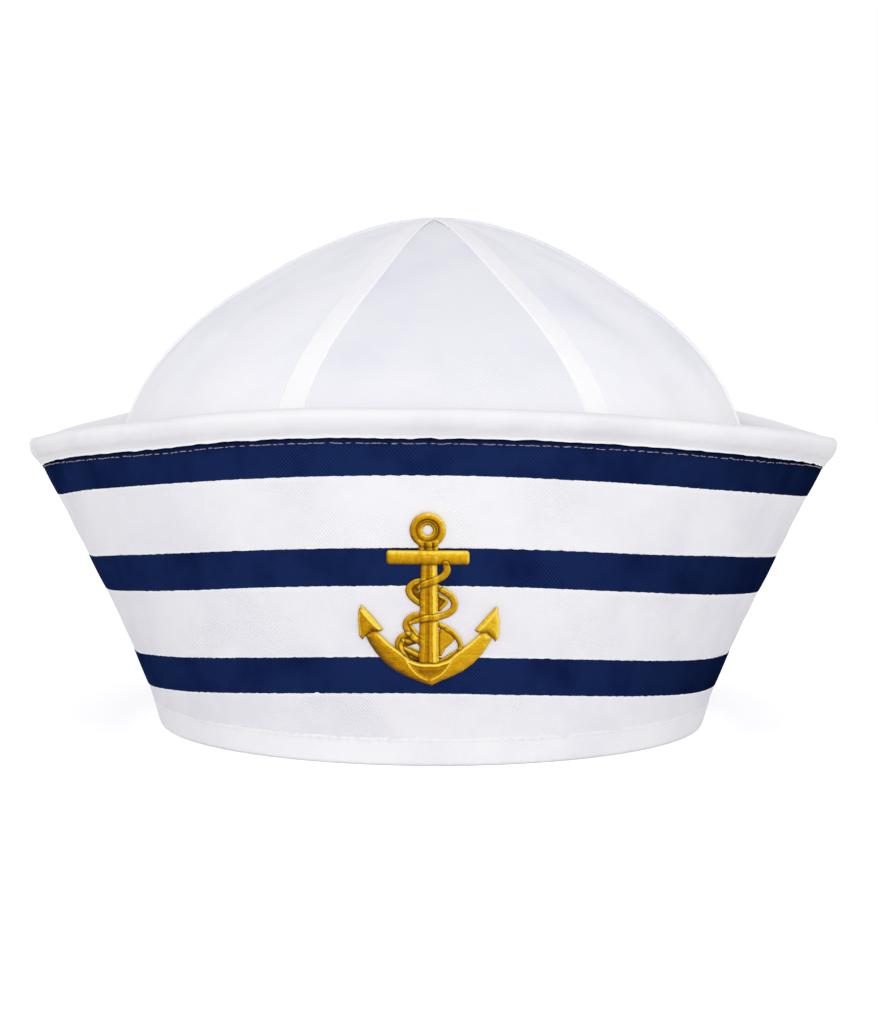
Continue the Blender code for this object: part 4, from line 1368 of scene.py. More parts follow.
@dataclass
class SeamTapes:
    """The bright tapes sewn over the crown's seams; one of them runs through over the top."""

    shape: CrownShape
    widths: tuple[TapeWidth, ...] = (TapeWidth(1.5, 0.0027), TapeWidth(3.5, 0.0037), TapeWidth(6.3, 0.0044))
    top_row: float = 0.1
    foot_row: float = 10.0
    closer_above: float = 1.25
    straight_to: float = 2.0
    samples: int = 300
    blended: tuple[float, float] = (1.1, 1.7)
    through: tuple[int, int] = (1, 4)
    ending: tuple[int, ...] = (0, 2, 3, 5)
    at_the_sides: tuple[int, ...] = (3, 5)
    end_gap: float = 0.0002
    least_width: float = 0.0010
    rows: int = 170
    columns: int = 17
    under: float = -0.00035
    over: float = 0.00030
    edge_swell: float = 0.00010
    swell_at: float = 0.84
    swell_width: float = 0.11
    seam_ridge: float = 0.00010
    ridge_width: float = 0.30
    dim_at_top: float = 0.30
    dim_at_sides: float = 0.75
    dim_between: tuple[float, float] = (0.104, 0.150)
    dim_power: float = 0.7
    edge_bright: float = 0.15
    bright_at: float = 0.88
    bright_width: float = 0.10
    stitch_column: int = 3
    stitch_pitch: float = 0.0024
    stitch_share: float = 0.68
    stitch_radius: float = 0.00007
    look_ahead: float = 0.0004

    def edges(self) -> Array:
        """Places across a tape, from -1 to 1, closer together beside its edges."""
        return np.sin(np.linspace(-0.5, 0.5, self.columns) * math.pi)

    def row_places(self) -> Array:
        """Rows down a tape, closer together near the top."""
        fall = np.linspace(0.0, 1.0, self.rows) ** self.closer_above
        return self.top_row + (self.foot_row - self.top_row) * fall

    def half_width(self, row: Array) -> Array:
        """Half the tape's width, narrowing towards the top."""
        return np.interp(row, [width.row for width in self.widths], [width.half for width in self.widths])

    def seam_plan(self, index: int, row: Array) -> Array:
        """Plan places of a seam."""
        azimuth = self.shape.seam_azimuth(self.shape.seams[index], row)
        return self.shape.surface(azimuth, row)[..., :2]

    def beside(self, row: Array) -> Array:
        """The level direction square to the through tape, at rows near the top."""
        run = unit(self.seam_plan(self.through[0], row) - self.seam_plan(self.through[1], row))
        return np.stack([-run[:, 1], run[:, 0]], axis=-1)

    def plan_to_crown(self, plan: Array) -> tuple[Array, Array]:
        """Azimuth and row of the crown's points above places in plan, near the top."""
        row = np.linspace(0.0, self.straight_to, self.samples)
        half_width = self.shape.section(row)[..., 0]
        across, along = plan[..., 0], plan[..., 1] / self.shape.aspect
        return np.arctan2(across, -along), np.interp(np.hypot(across, along), half_width, row)

    def through_side(self, index: int, turn: float) -> tuple[Array, Array]:
        """Azimuths and rows of one side of the through tape, from the top down.

        Low down a point lies a share of the half width round the crown from the seam; near the
        top, where the azimuths close up, it lies as far beside the seam in plan, and the two
        are blended in between.

        Args:
            index: the seam's number.
            turn: 1 where azimuths grow to the right of the tape's run, -1 where they fall.

        Returns:
            Azimuths and rows, rows by places.
        """
        edges, rows = self.edges(), self.row_places()
        middle = self.shape.seam_azimuth(self.shape.seams[index], rows)
        half = self.half_width(rows)
        azimuth = middle[:, None] + turn * edges * (half / self.shape.radius(middle, rows))[:, None]
        aside = self.beside(rows)[:, None, :] * edges[:, None] * half[:, None, None]
        plan_azimuth, plan_row = self.plan_to_crown(self.seam_plan(index, rows)[:, None, :] + aside)
        plan_azimuth = azimuth + (plan_azimuth - azimuth + math.pi) % TURN - math.pi
        low_down = smooth_step(rows, *self.blended)[:, None]
        azimuth = plan_azimuth + (azimuth - plan_azimuth) * low_down
        return azimuth, plan_row + (rows[:, None] - plan_row) * low_down

    def ending_side(self, index: int) -> tuple[Array, Array]:
        """A tape that stops along the edge of the through tape.

        Args:
            index: the seam's number.

        Returns:
            Azimuths and rows, rows by places.
        """
        rows = self.row_places()
        middle = self.shape.seam_azimuth(self.shape.seams[index], rows)
        half = self.half_width(rows)
        beside = self.beside(rows[:1])[0]
        away = self.seam_plan(index, rows) @ beside
        side = np.sign(away[-1])
        room = side * away - self.widths[0].half - self.end_gap
        nearing = side * (unit(pair(np.cos(middle), self.shape.aspect * np.sin(middle))) @ beside)
        low = np.where(nearing > 0.0, np.maximum(-half, -room / nearing), -half)
        high = np.where(nearing < 0.0, np.minimum(half, -room / nearing), half)
        kept = (high - low > self.least_width) & (room > 0.0)
        place = low[:, None] + (high - low)[:, None] * (self.edges() + 1.0) / 2.0
        azimuth = middle[:, None] + place / self.shape.radius(middle, rows)[:, None]
        return azimuth[kept], np.broadcast_to(rows[:, None], azimuth.shape)[kept]

    def lift(self) -> Array:
        """Height of the tape's face: turned-in edges swell, and the seam beneath raises the middle."""
        edges = self.edges()
        round_off = np.sqrt(np.clip(1.0 - np.abs(edges) ** 8, 0.0, 1.0))
        swell = self.edge_swell * bell(np.abs(edges) - self.swell_at, self.swell_width)
        swell = swell + self.seam_ridge * bell(edges, self.ridge_width)
        return self.under + (self.over - self.under + swell) * round_off

    def grids(self) -> list[TapeGrid]:
        """Number, azimuths and rows of every tape."""
        front, back = (self.through_side(index, turn) for index, turn in zip(self.through, (1.0, -1.0)))
        grids = [TapeGrid(1, *(np.concatenate([up[::-1], down]) for up, down in zip(front, back)))]
        for number, index in enumerate(self.ending, start=2):
            grids.append(TapeGrid(number, *self.ending_side(index)))
        return grids

    def build(self) -> list[Piece]:
        """All five tapes."""
        edges = self.edges()
        pieces = []
        for number, azimuth, row in self.grids():
            wander = Waves(seed=70 + number, amplitude=0.00005, shortest=0.004, longest=0.02)
            under = self.shape.point(azimuth, row, self.under)
            run = run_along(under[:, self.columns // 2])[:, None]
            across = edges * np.linalg.norm(under[:, -1] - under[:, 0], axis=1)[:, None] / 2.0
            lift = self.lift() + wander.at(run, across) * (1.0 - edges ** 4)
            over = self.shape.point(azimuth, row, lift)
            # Painted shade that deepens up the crown, most on the side tapes, and spared along the edges as
            # a painted highlight
            bright = self.edge_bright * bell(np.abs(edges) - self.bright_at, self.bright_width)
            height = np.concatenate([over, under[:, ::-1]], axis=1)[..., 2]
            share = self.dim_at_sides if number in self.at_the_sides else self.dim_at_top
            climb = smooth_step(height, *self.dim_between) ** self.dim_power
            dim = share * climb * (1.0 - np.tile(bright, 2))
            names = f"seam_tape_{number}", f"crown_tape_{number}"
            pieces.append(shell_piece(*names, (over, under), pair(across, run), dim, Slot.TAPE))
        return pieces

    def stitching(self) -> Piece:
        """A row of fine stitches along both edges of every tape."""
        rows = []
        for _, azimuth, row in self.grids():
            for column in (self.stitch_column, self.columns - 1 - self.stitch_column):
                spot = azimuth[:, column], row[:, column]
                line = self.shape.point(*spot, self.lift()[column])
                normals = self.shape.normal(*spot)
                run = run_along(line)
                count = int(run[-1] // self.stitch_pitch)
                at = (np.arange(count) + 0.5) * self.stitch_pitch
                middle, ahead, out = (
                    np.stack([np.interp(place, run, values[:, axis]) for axis in range(3)], axis=1)
                    for place, values in ((at, line), (at + self.look_ahead, line), (at, normals))
                )
                length = np.full(count, self.stitch_share * self.stitch_pitch)
                rows.append((middle, unit(ahead - middle), unit(out), length))
        radius = self.stitch_radius
        maker = Stitches("tape_stitches", radius=radius, sink=radius, sides=5, rings=4)
        return maker.build(*(np.concatenate(part) for part in zip(*rows)))


class Relief(NamedTuple):
    """What one form of the badge does over the whole drawing; a soft one leaves no crease."""

    depth: Array
    rise: Array
    thread: Array
    tone: Array
    lift: float
    soft: bool


def nearest_on_path(points: Array, path: Array, closed: bool) -> tuple[Array, Array, Array]:
    """Distance to a path, the side of it, and how far along the nearest place is.

    For each stretch the point's share along it is clipped to 0 and 1, and the nearest stretch
    is kept. The loop runs over stretches, with all the points at once.

    Args:
        points: the drawing's points.
        path: the path's points.
        closed: whether the path's end joins its start.

    Returns:
        Distances, sides (1 or -1) and lengths along the path.
    """
    ends = np.roll(path, -1, axis=0) if closed else path[1:]
    best = np.full(len(points), np.inf)
    side = np.ones(len(points))
    along = np.zeros(len(points))
    run = 0.0
    for start, end in zip(path, ends):
        step = end - start
        length = float(np.hypot(*step))
        offset = points - start
        share = np.clip(offset @ step / length ** 2, 0.0, 1.0)
        distance = np.hypot(*(offset - share[:, None] * step).T)
        nearer = distance < best
        best = np.where(nearer, distance, best)
        side = np.where(nearer, np.sign(step[0] * offset[:, 1] - step[1] * offset[:, 0]), side)
        along = np.where(nearer, run + share * length, along)
        run += length
    return best, side, along


@dataclass(frozen=True)
class SatinRun:
    """A padded run of satin stitches along a path, in millimetres across and down the badge.

    Its section is a dome, height * (1 - |a|^dome)^(1/dome), with a the share of the half width,
    less a hollow along its middle, hollow * exp(-(a / hollow width)^2).
    """

    spots: Spots
    half_widths: tuple[float, ...]
    height: float
    lift: float = 0.8
    closed: bool = False
    slant: float = 0.35
    hollow: float = 0.0
    hollow_width: float = 0.42
    tone: float = 0.0
    corner: float = 0.0
    dome: float = 2.2
    steps: int = 6
    soft: bool = False

    def relief(self, points: Array) -> Relief:
        """Measure the run over the drawing.

        A run with a corner length is cut square, its ends rounded as (s^4 + e^4)^(1/4), with s
        the share sideways and e the share of the corner length that is left to the end.

        Args:
            points: the drawing's points.

        Returns:
            What the run does there.
        """
        widths = self.half_widths if len(self.half_widths) > 1 else self.half_widths * len(self.spots)
        path = smooth_path(np.column_stack([np.array(self.spots), widths]), self.steps, self.closed)
        distance, side, along = nearest_on_path(points, path[:, :2], self.closed)
        run = run_along(path[:, :2])
        half = np.interp(along, run, path[:, 2])
        across = distance / half
        if self.corner:
            heading = unit(path[-1, :2] - path[0, :2])
            ahead = (points - path[0, :2]) @ heading
            beyond = np.maximum(-ahead, ahead - run[-1])
            sideways = np.abs((points - path[0, :2]) @ np.array([-heading[1], heading[0]])) / half
            across = (sideways ** 4 + np.maximum(1.0 + beyond / self.corner, 0.0) ** 4) ** 0.25
        rise = self.height * np.clip(1.0 - across ** self.dome, 0.0, 1.0) ** (1.0 / self.dome)
        rise = rise * (1.0 - self.hollow * bell(across, self.hollow_width))
        thread = along + self.slant * side * distance
        tone = np.full(len(points), self.tone)
        return Relief((1.0 - across) * half, rise, thread, tone, self.lift, self.soft)


@dataclass(frozen=True)
class SatinPatch:
    """A padded patch of satin stitches inside an outline, in millimetres.

    Its height is height * (1 - (1 - d / shoulder)^2)^(1/2), with d the depth inside the edge.
    """

    outline: Spots
    height: float
    shoulder: float
    heading: float = 0.0
    lift: float = 0.5
    tone: float = 0.0
    tone_across: float = 0.0
    soft: bool = False

    def relief(self, points: Array) -> Relief:
        """Measure the patch over the drawing.

        A point is inside where a level line from it crosses the outline an odd number of times.

        Args:
            points: the drawing's points.

        Returns:
            What the patch does there.
        """
        outline = np.array(self.outline)
        distance, _, _ = nearest_on_path(points, outline, True)
        inside = np.zeros(len(points), dtype=bool)
        for start, end in zip(outline, np.roll(outline, -1, axis=0)):
            level = (start[1] > points[:, 1]) != (end[1] > points[:, 1])
            rise = end[1] - start[1] if end[1] != start[1] else 1.0
            cut = start[0] + (points[:, 1] - start[1]) / rise * (end[0] - start[0])
            inside ^= level & (points[:, 0] < cut)
        depth = np.where(inside, distance, -distance)
        share = np.clip(depth / self.shoulder, 0.0, 1.0)
        rise = self.height * np.sqrt(1.0 - (1.0 - share) ** 2)
        heading = np.array([math.cos(math.radians(self.heading)), math.sin(math.radians(self.heading))])
        tone = self.tone + self.tone_across * points[:, 0]
        return Relief(depth, rise, points @ heading, tone, self.lift, self.soft)


def soften(heights: Array, passes: int) -> Array:
    """Average a grid with its neighbours, 1 to 2 to 1 each way, a number of times."""
    for _ in range(passes):
        ringed = np.pad(heights, 1, mode="edge")
        rows = (ringed[:-2] + 2.0 * ringed[1:-1] + ringed[2:]) / 4.0
        heights = (rows[:, :-2] + 2.0 * rows[:, 1:-1] + rows[:, 2:]) / 4.0
    return heights


def mirrored(spots: Spots) -> Spots:
    """The same spots on the other side of the badge's middle line."""
    return tuple((-across, down) for across, down in spots)


def soft_mark(
    spots: Spots, half_widths: tuple[float, ...], rise: float, tone: float, **more: Any
) -> SatinRun:
    """A soft ridge or groove in the satin that it crosses: a ridge with a painted highlight, a groove with
    painted shade.
    """
    return SatinRun(spots, half_widths, rise, tone=tone, soft=True, **{"lift": 1.0, **more})


def ring(half_width: float, half_height: float, width: float, height: float, **more: Any) -> SatinRun:
    """A run of satin round the anchor's ring, whose middle lies a little left of the badge's."""
    turn = np.arange(12) * TURN / 12.0
    spots = tuple((-0.4 + half_width * math.cos(t), 0.05 + half_height * math.sin(t)) for t in turn)
    return SatinRun(spots, (width,), height, closed=True, **more)


FLUKE = (
    (18.3, 22.1), (15.3, 25.6), (12.3, 29.5), (13.2, 30.2), (15.6, 30.0), (16.9, 31.2), (18.0, 32.8),
    (18.9, 31.6), (19.2, 26.4),
)
ARM_UPPER = (
    (0.2, 39.5), (2.6, 39.4), (5.2, 38.4), (7.2, 36.5), (9.2, 34.8), (11.3, 33.0), (13.4, 30.8),
    (14.6, 29.6),
)
ARM_LOWER = (
    (0.7, 46.3), (3.0, 45.0), (6.0, 43.6), (9.1, 41.9), (12.0, 39.5), (14.5, 36.5), (16.1, 33.9),
    (17.2, 31.4),
)
ARM_RIDGE = ((8.1, 35.6), (6.4, 38.2), (4.8, 41.0), (2.9, 43.2), (0.6, 44.6))
HEART_HALF = ((2.7, 43.0), (4.5, 41.0), (5.6, 39.2), (2.6, 40.4))


@dataclass
class AnchorBadge:
    """The fouled anchor in raised satin stitch: a height map over a flat drawing, cut out along
    its outline, backed, and laid round the front of the brim."""

    shape: BrimShape
    middle_x: float = -0.0005
    ring_drop: float = 0.0358
    down_stretch: float = 1.012
    pitch: float = 0.13
    top: float = -4.9
    margin: float = 0.4
    back: float = 0.00026
    rim_rise: float = 0.10
    thread_pitch: float = 0.50
    thread_relief: float = 0.05
    thread_from_edge: float = 0.3
    thread_tone: float = 0.2
    thread_mean: float = 0.6
    crease_width: float = 0.34
    crease_on_top: float = 0.32
    crease_fades: float = 1.6
    edge_crease: float = 0.40
    sheen: float = 1.5
    sheen_heading: tuple[float, float] = (0.60, -0.80)
    streaks: Waves = Waves(seed=81, amplitude=0.10, shortest=0.5, longest=3.0)
    streak_stretch: float = 0.3
    least_slope: float = 0.5
    furthest_moved: float = 0.8

    def rope_behind(self) -> list[SatinRun | SatinPatch]:
        """The rope where it passes behind the shank, and low dark fills in its loops, painted shade."""
        rope = {"hollow": 0.15}
        return [
            SatinPatch(
                ((3.0, 28.9), (5.0, 29.4), (7.0, 32.2), (5.9, 33.6), (4.5, 35.0), (3.4, 37.4), (1.5, 37.0)),
                0.55, 0.9, heading=60.0, tone=0.15,
            ),
            SatinRun(((-3.3, 16.4), (-3.7, 18.0), (-2.6, 19.4)), (0.95,), 0.30, tone=-0.8),
            SatinRun(((2.5, 20.0), (3.2, 21.2), (2.6, 22.4)), (0.9,), 0.30, tone=-0.7),
            SatinRun(((2.2, 18.9), (4.6, 20.9), (2.9, 23.4)), (0.5,), 0.55, tone=0.15),
            SatinPatch(
                ((-5.6, 29.5), (-2.2, 31.0), (-2.2, 33.1), (-4.9, 34.2), (-6.9, 35.0), (-7.4, 32.0)),
                0.30, 0.8, tone=-0.7,
            ),
            SatinPatch(
                ((-6.9, 34.9), (-4.9, 34.7), (-2.2, 36.0), (-2.2, 38.8), (-5.2, 38.4)), 0.30, 0.8, tone=-0.6,
            ),
            SatinRun(((-6.8, 32.6), (-5.4, 33.1), (-3.8, 32.4)), (0.6,), 0.40, tone=-0.1),
            SatinRun(((-6.6, 35.2), (-4.6, 36.3), (-2.0, 37.7)), (0.65,), 0.55),
            SatinRun(((-5.2, 28.0), (-3.9, 30.0), (-2.2, 31.8)), (0.55,), 0.55, tone=0.1),
            SatinRun(((8.4, 35.4), (6.6, 36.6), (4.6, 37.9), (3.0, 38.9)), (0.55,), 0.45),
            SatinRun(((1.6, 16.6), (2.7, 17.1), (3.9, 17.9)), (0.95,), 0.65, **rope),
            SatinRun(
                (
                    (-1.6, 15.0), (-3.4, 15.1), (-4.9, 16.2), (-5.5, 17.6), (-5.0, 19.2), (-3.8, 20.6),
                    (-1.8, 22.0),
                ),
                (0.85,), 0.75, **rope,
            ),
            SatinRun(
                (
                    (-1.6, 25.0), (-3.8, 25.1), (-5.5, 26.2), (-6.3, 27.9), (-5.8, 29.7), (-4.4, 31.5),
                    (-2.0, 33.6),
                ),
                (0.85,), 0.75, **rope,
            ),
            SatinRun(((2.0, 27.6), (5.0, 29.1), (7.3, 31.3), (8.5, 33.8), (8.4, 36.0)), (0.72,), 0.65),
            SatinRun(((-5.6, 30.6), (-7.5, 31.7), (-8.4, 33.5), (-8.1, 35.4), (-6.9, 37.4)), (0.8,), 0.70),
            SatinRun(((-6.9, 32.6), (-7.5, 34.4), (-6.8, 36.4), (-5.6, 38.6)), (0.5,), 0.6, tone=0.25),
        ]

    def stem(self) -> list[SatinRun | SatinPatch]:
        """The shank with its groove and ridge, the ring, the shackle in ribs, and the stock; their tones are
        painted light and shade.
        """
        upright = {"slant": 0.0}
        return [
            SatinRun(
                ((0.0, 7.0), (0.0, 24.0), (0.1, 40.5)), (2.1, 2.5, 2.75), 1.1, hollow=0.25, lift=0.2,
                tone=0.15, **upright,
            ),
            # A groove of painted shade and a ridge with a painted highlight down the shank
            soft_mark(((-0.45, 9.5), (-0.5, 24.0), (-0.5, 40.3)), (0.5, 0.6, 0.65), -0.15, -0.5, **upright),
            soft_mark(((1.2, 9.5), (1.4, 24.0), (1.55, 40.3)), (0.35, 0.42, 0.45), 0.12, 1.1, **upright),
            SatinRun(((-0.1, 3.2), (0.0, 7.6)), (2.45,), 0.45, slant=0.1, tone=-0.6, lift=0.2, corner=0.6),
            ring(3.50, 3.78, 1.32, 0.95, lift=0.3),
            ring(2.22, 2.35, 0.80, 0.55, lift=0.35, tone=-0.5),
            ring(1.72, 1.82, 0.35, 0.05, lift=1.0, tone=0.3, soft=True),
            soft_mark(((-2.7, 3.2), (-2.2, 4.6), (-2.0, 6.8)), (0.6, 0.65, 0.6), 0.25, 0.35, lift=0.8),
            soft_mark(((-1.1, 3.8), (-1.1, 5.2), (-1.2, 6.6)), (0.25, 0.35, 0.4), -0.12, -1.0, lift=0.9),
            soft_mark(((0.1, 3.6), (0.1, 4.8), (0.0, 6.8)), (0.3, 0.55, 0.7), 0.25, 0.2, lift=0.9),
            soft_mark(((1.0, 3.8), (1.1, 5.2), (1.1, 6.6)), (0.25, 0.3, 0.35), -0.12, -1.0, lift=0.9),
            soft_mark(((2.1, 3.2), (1.8, 4.6), (1.9, 6.8)), (0.5, 0.5, 0.5), 0.25, 0.35, lift=0.8),
            SatinRun(((-11.4, 8.0), (10.8, 8.0)), (2.08,), 1.20, slant=0.2, lift=0.3, corner=1.2, tone=0.2),
        ]

    def rope_over(self) -> list[SatinRun | SatinPatch]:
        """The rope where it crosses over the shank."""
        return [
            SatinRun(
                ((4.3, 9.8), (4.8, 11.6), (4.0, 13.3), (2.2, 14.5), (0.2, 15.3), (-1.8, 16.1), (-2.8, 17.0)),
                (0.95, 1.0, 1.0, 1.0, 0.95, 0.85, 0.5), 0.65, lift=0.75, hollow=0.15,
            ),
            SatinRun(
                (
                    (3.7, 17.8), (5.6, 19.2), (6.8, 21.2), (6.5, 23.3), (4.7, 24.8), (2.0, 25.7),
                    (-0.7, 26.0), (-3.0, 26.7), (-5.0, 27.4),
                ),
                (0.95, 0.95, 0.95, 0.95, 1.0, 1.0, 0.95, 0.8, 0.5), 0.68, lift=0.75, hollow=0.15,
            ),
        ]

    def arms(self) -> list[SatinRun | SatinPatch]:
        """The arms, with a heart in painted shade, painted highlights on the lip and ridges, and the two
        flukes, the right one painted lighter.
        """
        outline = ARM_UPPER + ARM_LOWER[::-1] + mirrored(ARM_LOWER[1:]) + mirrored(ARM_UPPER[:0:-1])
        heart = ((0.0, 44.4),) + HEART_HALF + ((0.0, 40.6),) + mirrored(HEART_HALF[::-1])
        lip = tuple((across, down + 0.55) for across, down in ARM_UPPER[:-1])
        edges = (
            (((18.4, 23.2), (15.6, 26.9), (13.4, 29.6)), 0.9),
            (((-18.6, 23.6), (-18.8, 27.0), (-18.4, 31.2)), 0.8),
            (((-18.0, 24.0), (-15.4, 27.2), (-13.4, 29.4)), 0.9),
        )
        return [
            SatinPatch(outline, 1.15, 2.0, heading=90.0, lift=0.15, tone_across=0.025),
            SatinPatch(heart, -0.20, 1.4, heading=90.0, lift=1.0, tone=-0.45, soft=True),
            soft_mark(mirrored(lip[:0:-1]) + lip, (0.40,), 0.16, 0.8),
            soft_mark(ARM_RIDGE, (0.20,), 0.12, 0.75),
            soft_mark(mirrored(ARM_RIDGE), (0.20,), 0.12, 0.75),
            SatinPatch(FLUKE, 1.15, 1.7, heading=125.0, lift=0.15, tone=0.5),
            SatinPatch(mirrored(FLUKE), 1.15, 1.7, heading=55.0, lift=0.15, tone=-0.1),
            *(soft_mark(spots, (0.35,), 0.12, tone) for spots, tone in edges),
        ]

    def laid(self, across: Array, down: Array, off: Array) -> Array:
        """Lay points of the drawing, in millimetres, on the brim's front."""
        fall = self.ring_drop + self.down_stretch * down * MM
        height = self.shape.height_below_rim(np.zeros((1, 1)), fall[None, :])[0]
        share, _ = self.shape.share_out(np.zeros_like(height), height)
        half_width = self.shape.hem_half_width + self.shape.spread()[0] * share
        azimuth = np.arcsin((self.middle_x + across * MM) / half_width)
        fallen = self.shape.rim_height_front - self.shape.rim_height(azimuth)
        return self.shape.point(azimuth, height - fallen, self.back + off * MM)

    def build(self) -> Piece:
        """Lay the forms over each other, cut them out and lay them on the wall."""
        spots = np.array(FLUKE + ARM_LOWER)
        reach = spots[:, 0].max() + self.margin
        across = np.arange(-reach, reach + self.pitch, self.pitch)
        down = np.arange(self.top - self.margin, spots[:, 1].max() + self.margin, self.pitch)
        grid = pair(across, down[:, None])
        points = grid.reshape(-1, 2)
        off, ridges, tone = np.zeros((3, len(points)))
        inside, crease = np.full(len(points), -np.inf), np.full(len(points), np.inf)
        for form in self.rope_behind() + self.stem() + self.rope_over() + self.arms():
            relief = form.relief(points)
            covered = relief.depth > 0.0
            thread = np.abs(np.cos(math.pi * relief.thread / self.thread_pitch)) - self.thread_mean
            streak = self.streaks.at(relief.thread, self.streak_stretch * relief.depth)
            off = np.where(covered, relief.lift * off + relief.rise, off)
            ridge = self.thread_relief * thread * np.clip(relief.depth / self.thread_from_edge, 0.0, 1.0)
            ridges = np.where(covered, ridge, ridges)
            # The tone mark is painted light and shade: each form's tone, lighter thread crowns, and the
            # slope's painted sheen added below; the streaks are random
            tone = np.where(covered, relief.tone + self.thread_tone * thread + streak, tone)
            # Painted shade in the creases, along the edges of each form and beside those laid over it
            if not relief.soft:
                on_top = self.crease_on_top + self.crease_fades * relief.depth
                crease = np.where(covered, on_top, np.minimum(crease, np.abs(relief.depth)))
            inside = np.maximum(inside, relief.depth)
        frame_shape = grid.shape[:2]
        tone = tone.reshape(frame_shape) + self.sheen * self.glance(off.reshape(frame_shape))
        shade = bell(crease, self.crease_width).reshape(frame_shape)
        inside, raised = inside.reshape(frame_shape), (off + ridges).reshape(frame_shape)
        return self.cut_out(grid, inside, raised, tone, shade)

    def glance(self, off: Array) -> Array:
        """Painted light and shade from the slope of the relief: from 1 where it faces the sheen's heading to
        -1 where it turns away."""
        slope_down, slope_across = np.gradient(soften(off, 2), self.pitch)
        across, down = self.sheen_heading
        lean = np.sqrt(1.0 + slope_across ** 2 + slope_down ** 2)
        return -(slope_across * across + slope_down * down) / lean

    def cut_out(self, grid: Array, inside: Array, off: Array, tone: Array, shade: Array) -> Piece:
        """Keep the cells inside the outline, draw their edge onto it, and back them.

        Args:
            grid: the drawing's points, rows by columns.
            inside: depth inside the outline at each point, negative outside.
            off: height of the embroidery at each point.
            tone: how light each point is.
            shade: how deep in a crease each point is.

        Returns:
            The badge as one closed piece.
        """
        centre = (inside[:-1, :-1] + inside[1:, :-1] + inside[:-1, 1:] + inside[1:, 1:]) / 4.0
        kept = centre > 0.0
        # Two cells that touch at a corner alone get a third beside them
        for _ in range(3):
            kept[1:, :-1] |= kept[:-1, :-1] & kept[1:, 1:] & ~kept[1:, :-1] & ~kept[:-1, 1:]
            kept[:-1, :-1] |= kept[1:, :-1] & kept[:-1, 1:] & ~kept[:-1, :-1] & ~kept[1:, 1:]
        framed = np.pad(kept, 1)
        corners = [framed[:-1, :-1], framed[:-1, 1:], framed[1:, :-1], framed[1:, 1:]]
        used = np.logical_or.reduce(corners)
        edge = used & ~np.logical_and.reduce(corners)
        slope_down, slope_across = np.gradient(inside, self.pitch)
        steep = np.maximum(np.hypot(slope_down, slope_across), self.least_slope)
        furthest = self.furthest_moved * self.pitch
        move = np.clip(inside / steep, -furthest, furthest) * edge
        places = (grid - pair(slope_across, slope_down) * (move / steep)[..., None])[used]
        raised = np.where(edge, self.rim_rise, np.maximum(off, self.rim_rise))[used]
        faces = [self.laid(places[:, 0], places[:, 1], height) for height in (raised, 0.0 * raised)]
        number = np.cumsum(used.ravel()).reshape(used.shape) - 1
        row, column = np.nonzero(kept)
        quads = np.stack([
            number[row, column], number[row, column + 1],
            number[row + 1, column + 1], number[row + 1, column],
        ], axis=1)
        count = len(places)
        sides = []
        for side, (down, across) in enumerate(((-1, 0), (0, 1), (1, 0), (0, -1))):
            open_side = ~framed[row + 1 + down, column + 1 + across]
            first, second = quads[open_side, side], quads[open_side, (side + 1) % 4]
            sides.append(np.stack([second, first, first + count, second + count], axis=1))
        cells = np.concatenate([quads, quads[:, ::-1] + count, *sides])
        # The outline gets painted shade as well
        marks = {"tone": tone, "crease": np.where(edge, self.edge_crease, shade)}
        marks = {name: np.tile(mark[used], 2) for name, mark in marks.items()}
        surface = Surface(cells, np.tile(places * MM, (2, 1))[cells])
        points = np.concatenate(faces)
        return Piece("anchor_embroidery", points, [surface], Slot.GOLD, ("anchor_badge",), marks)


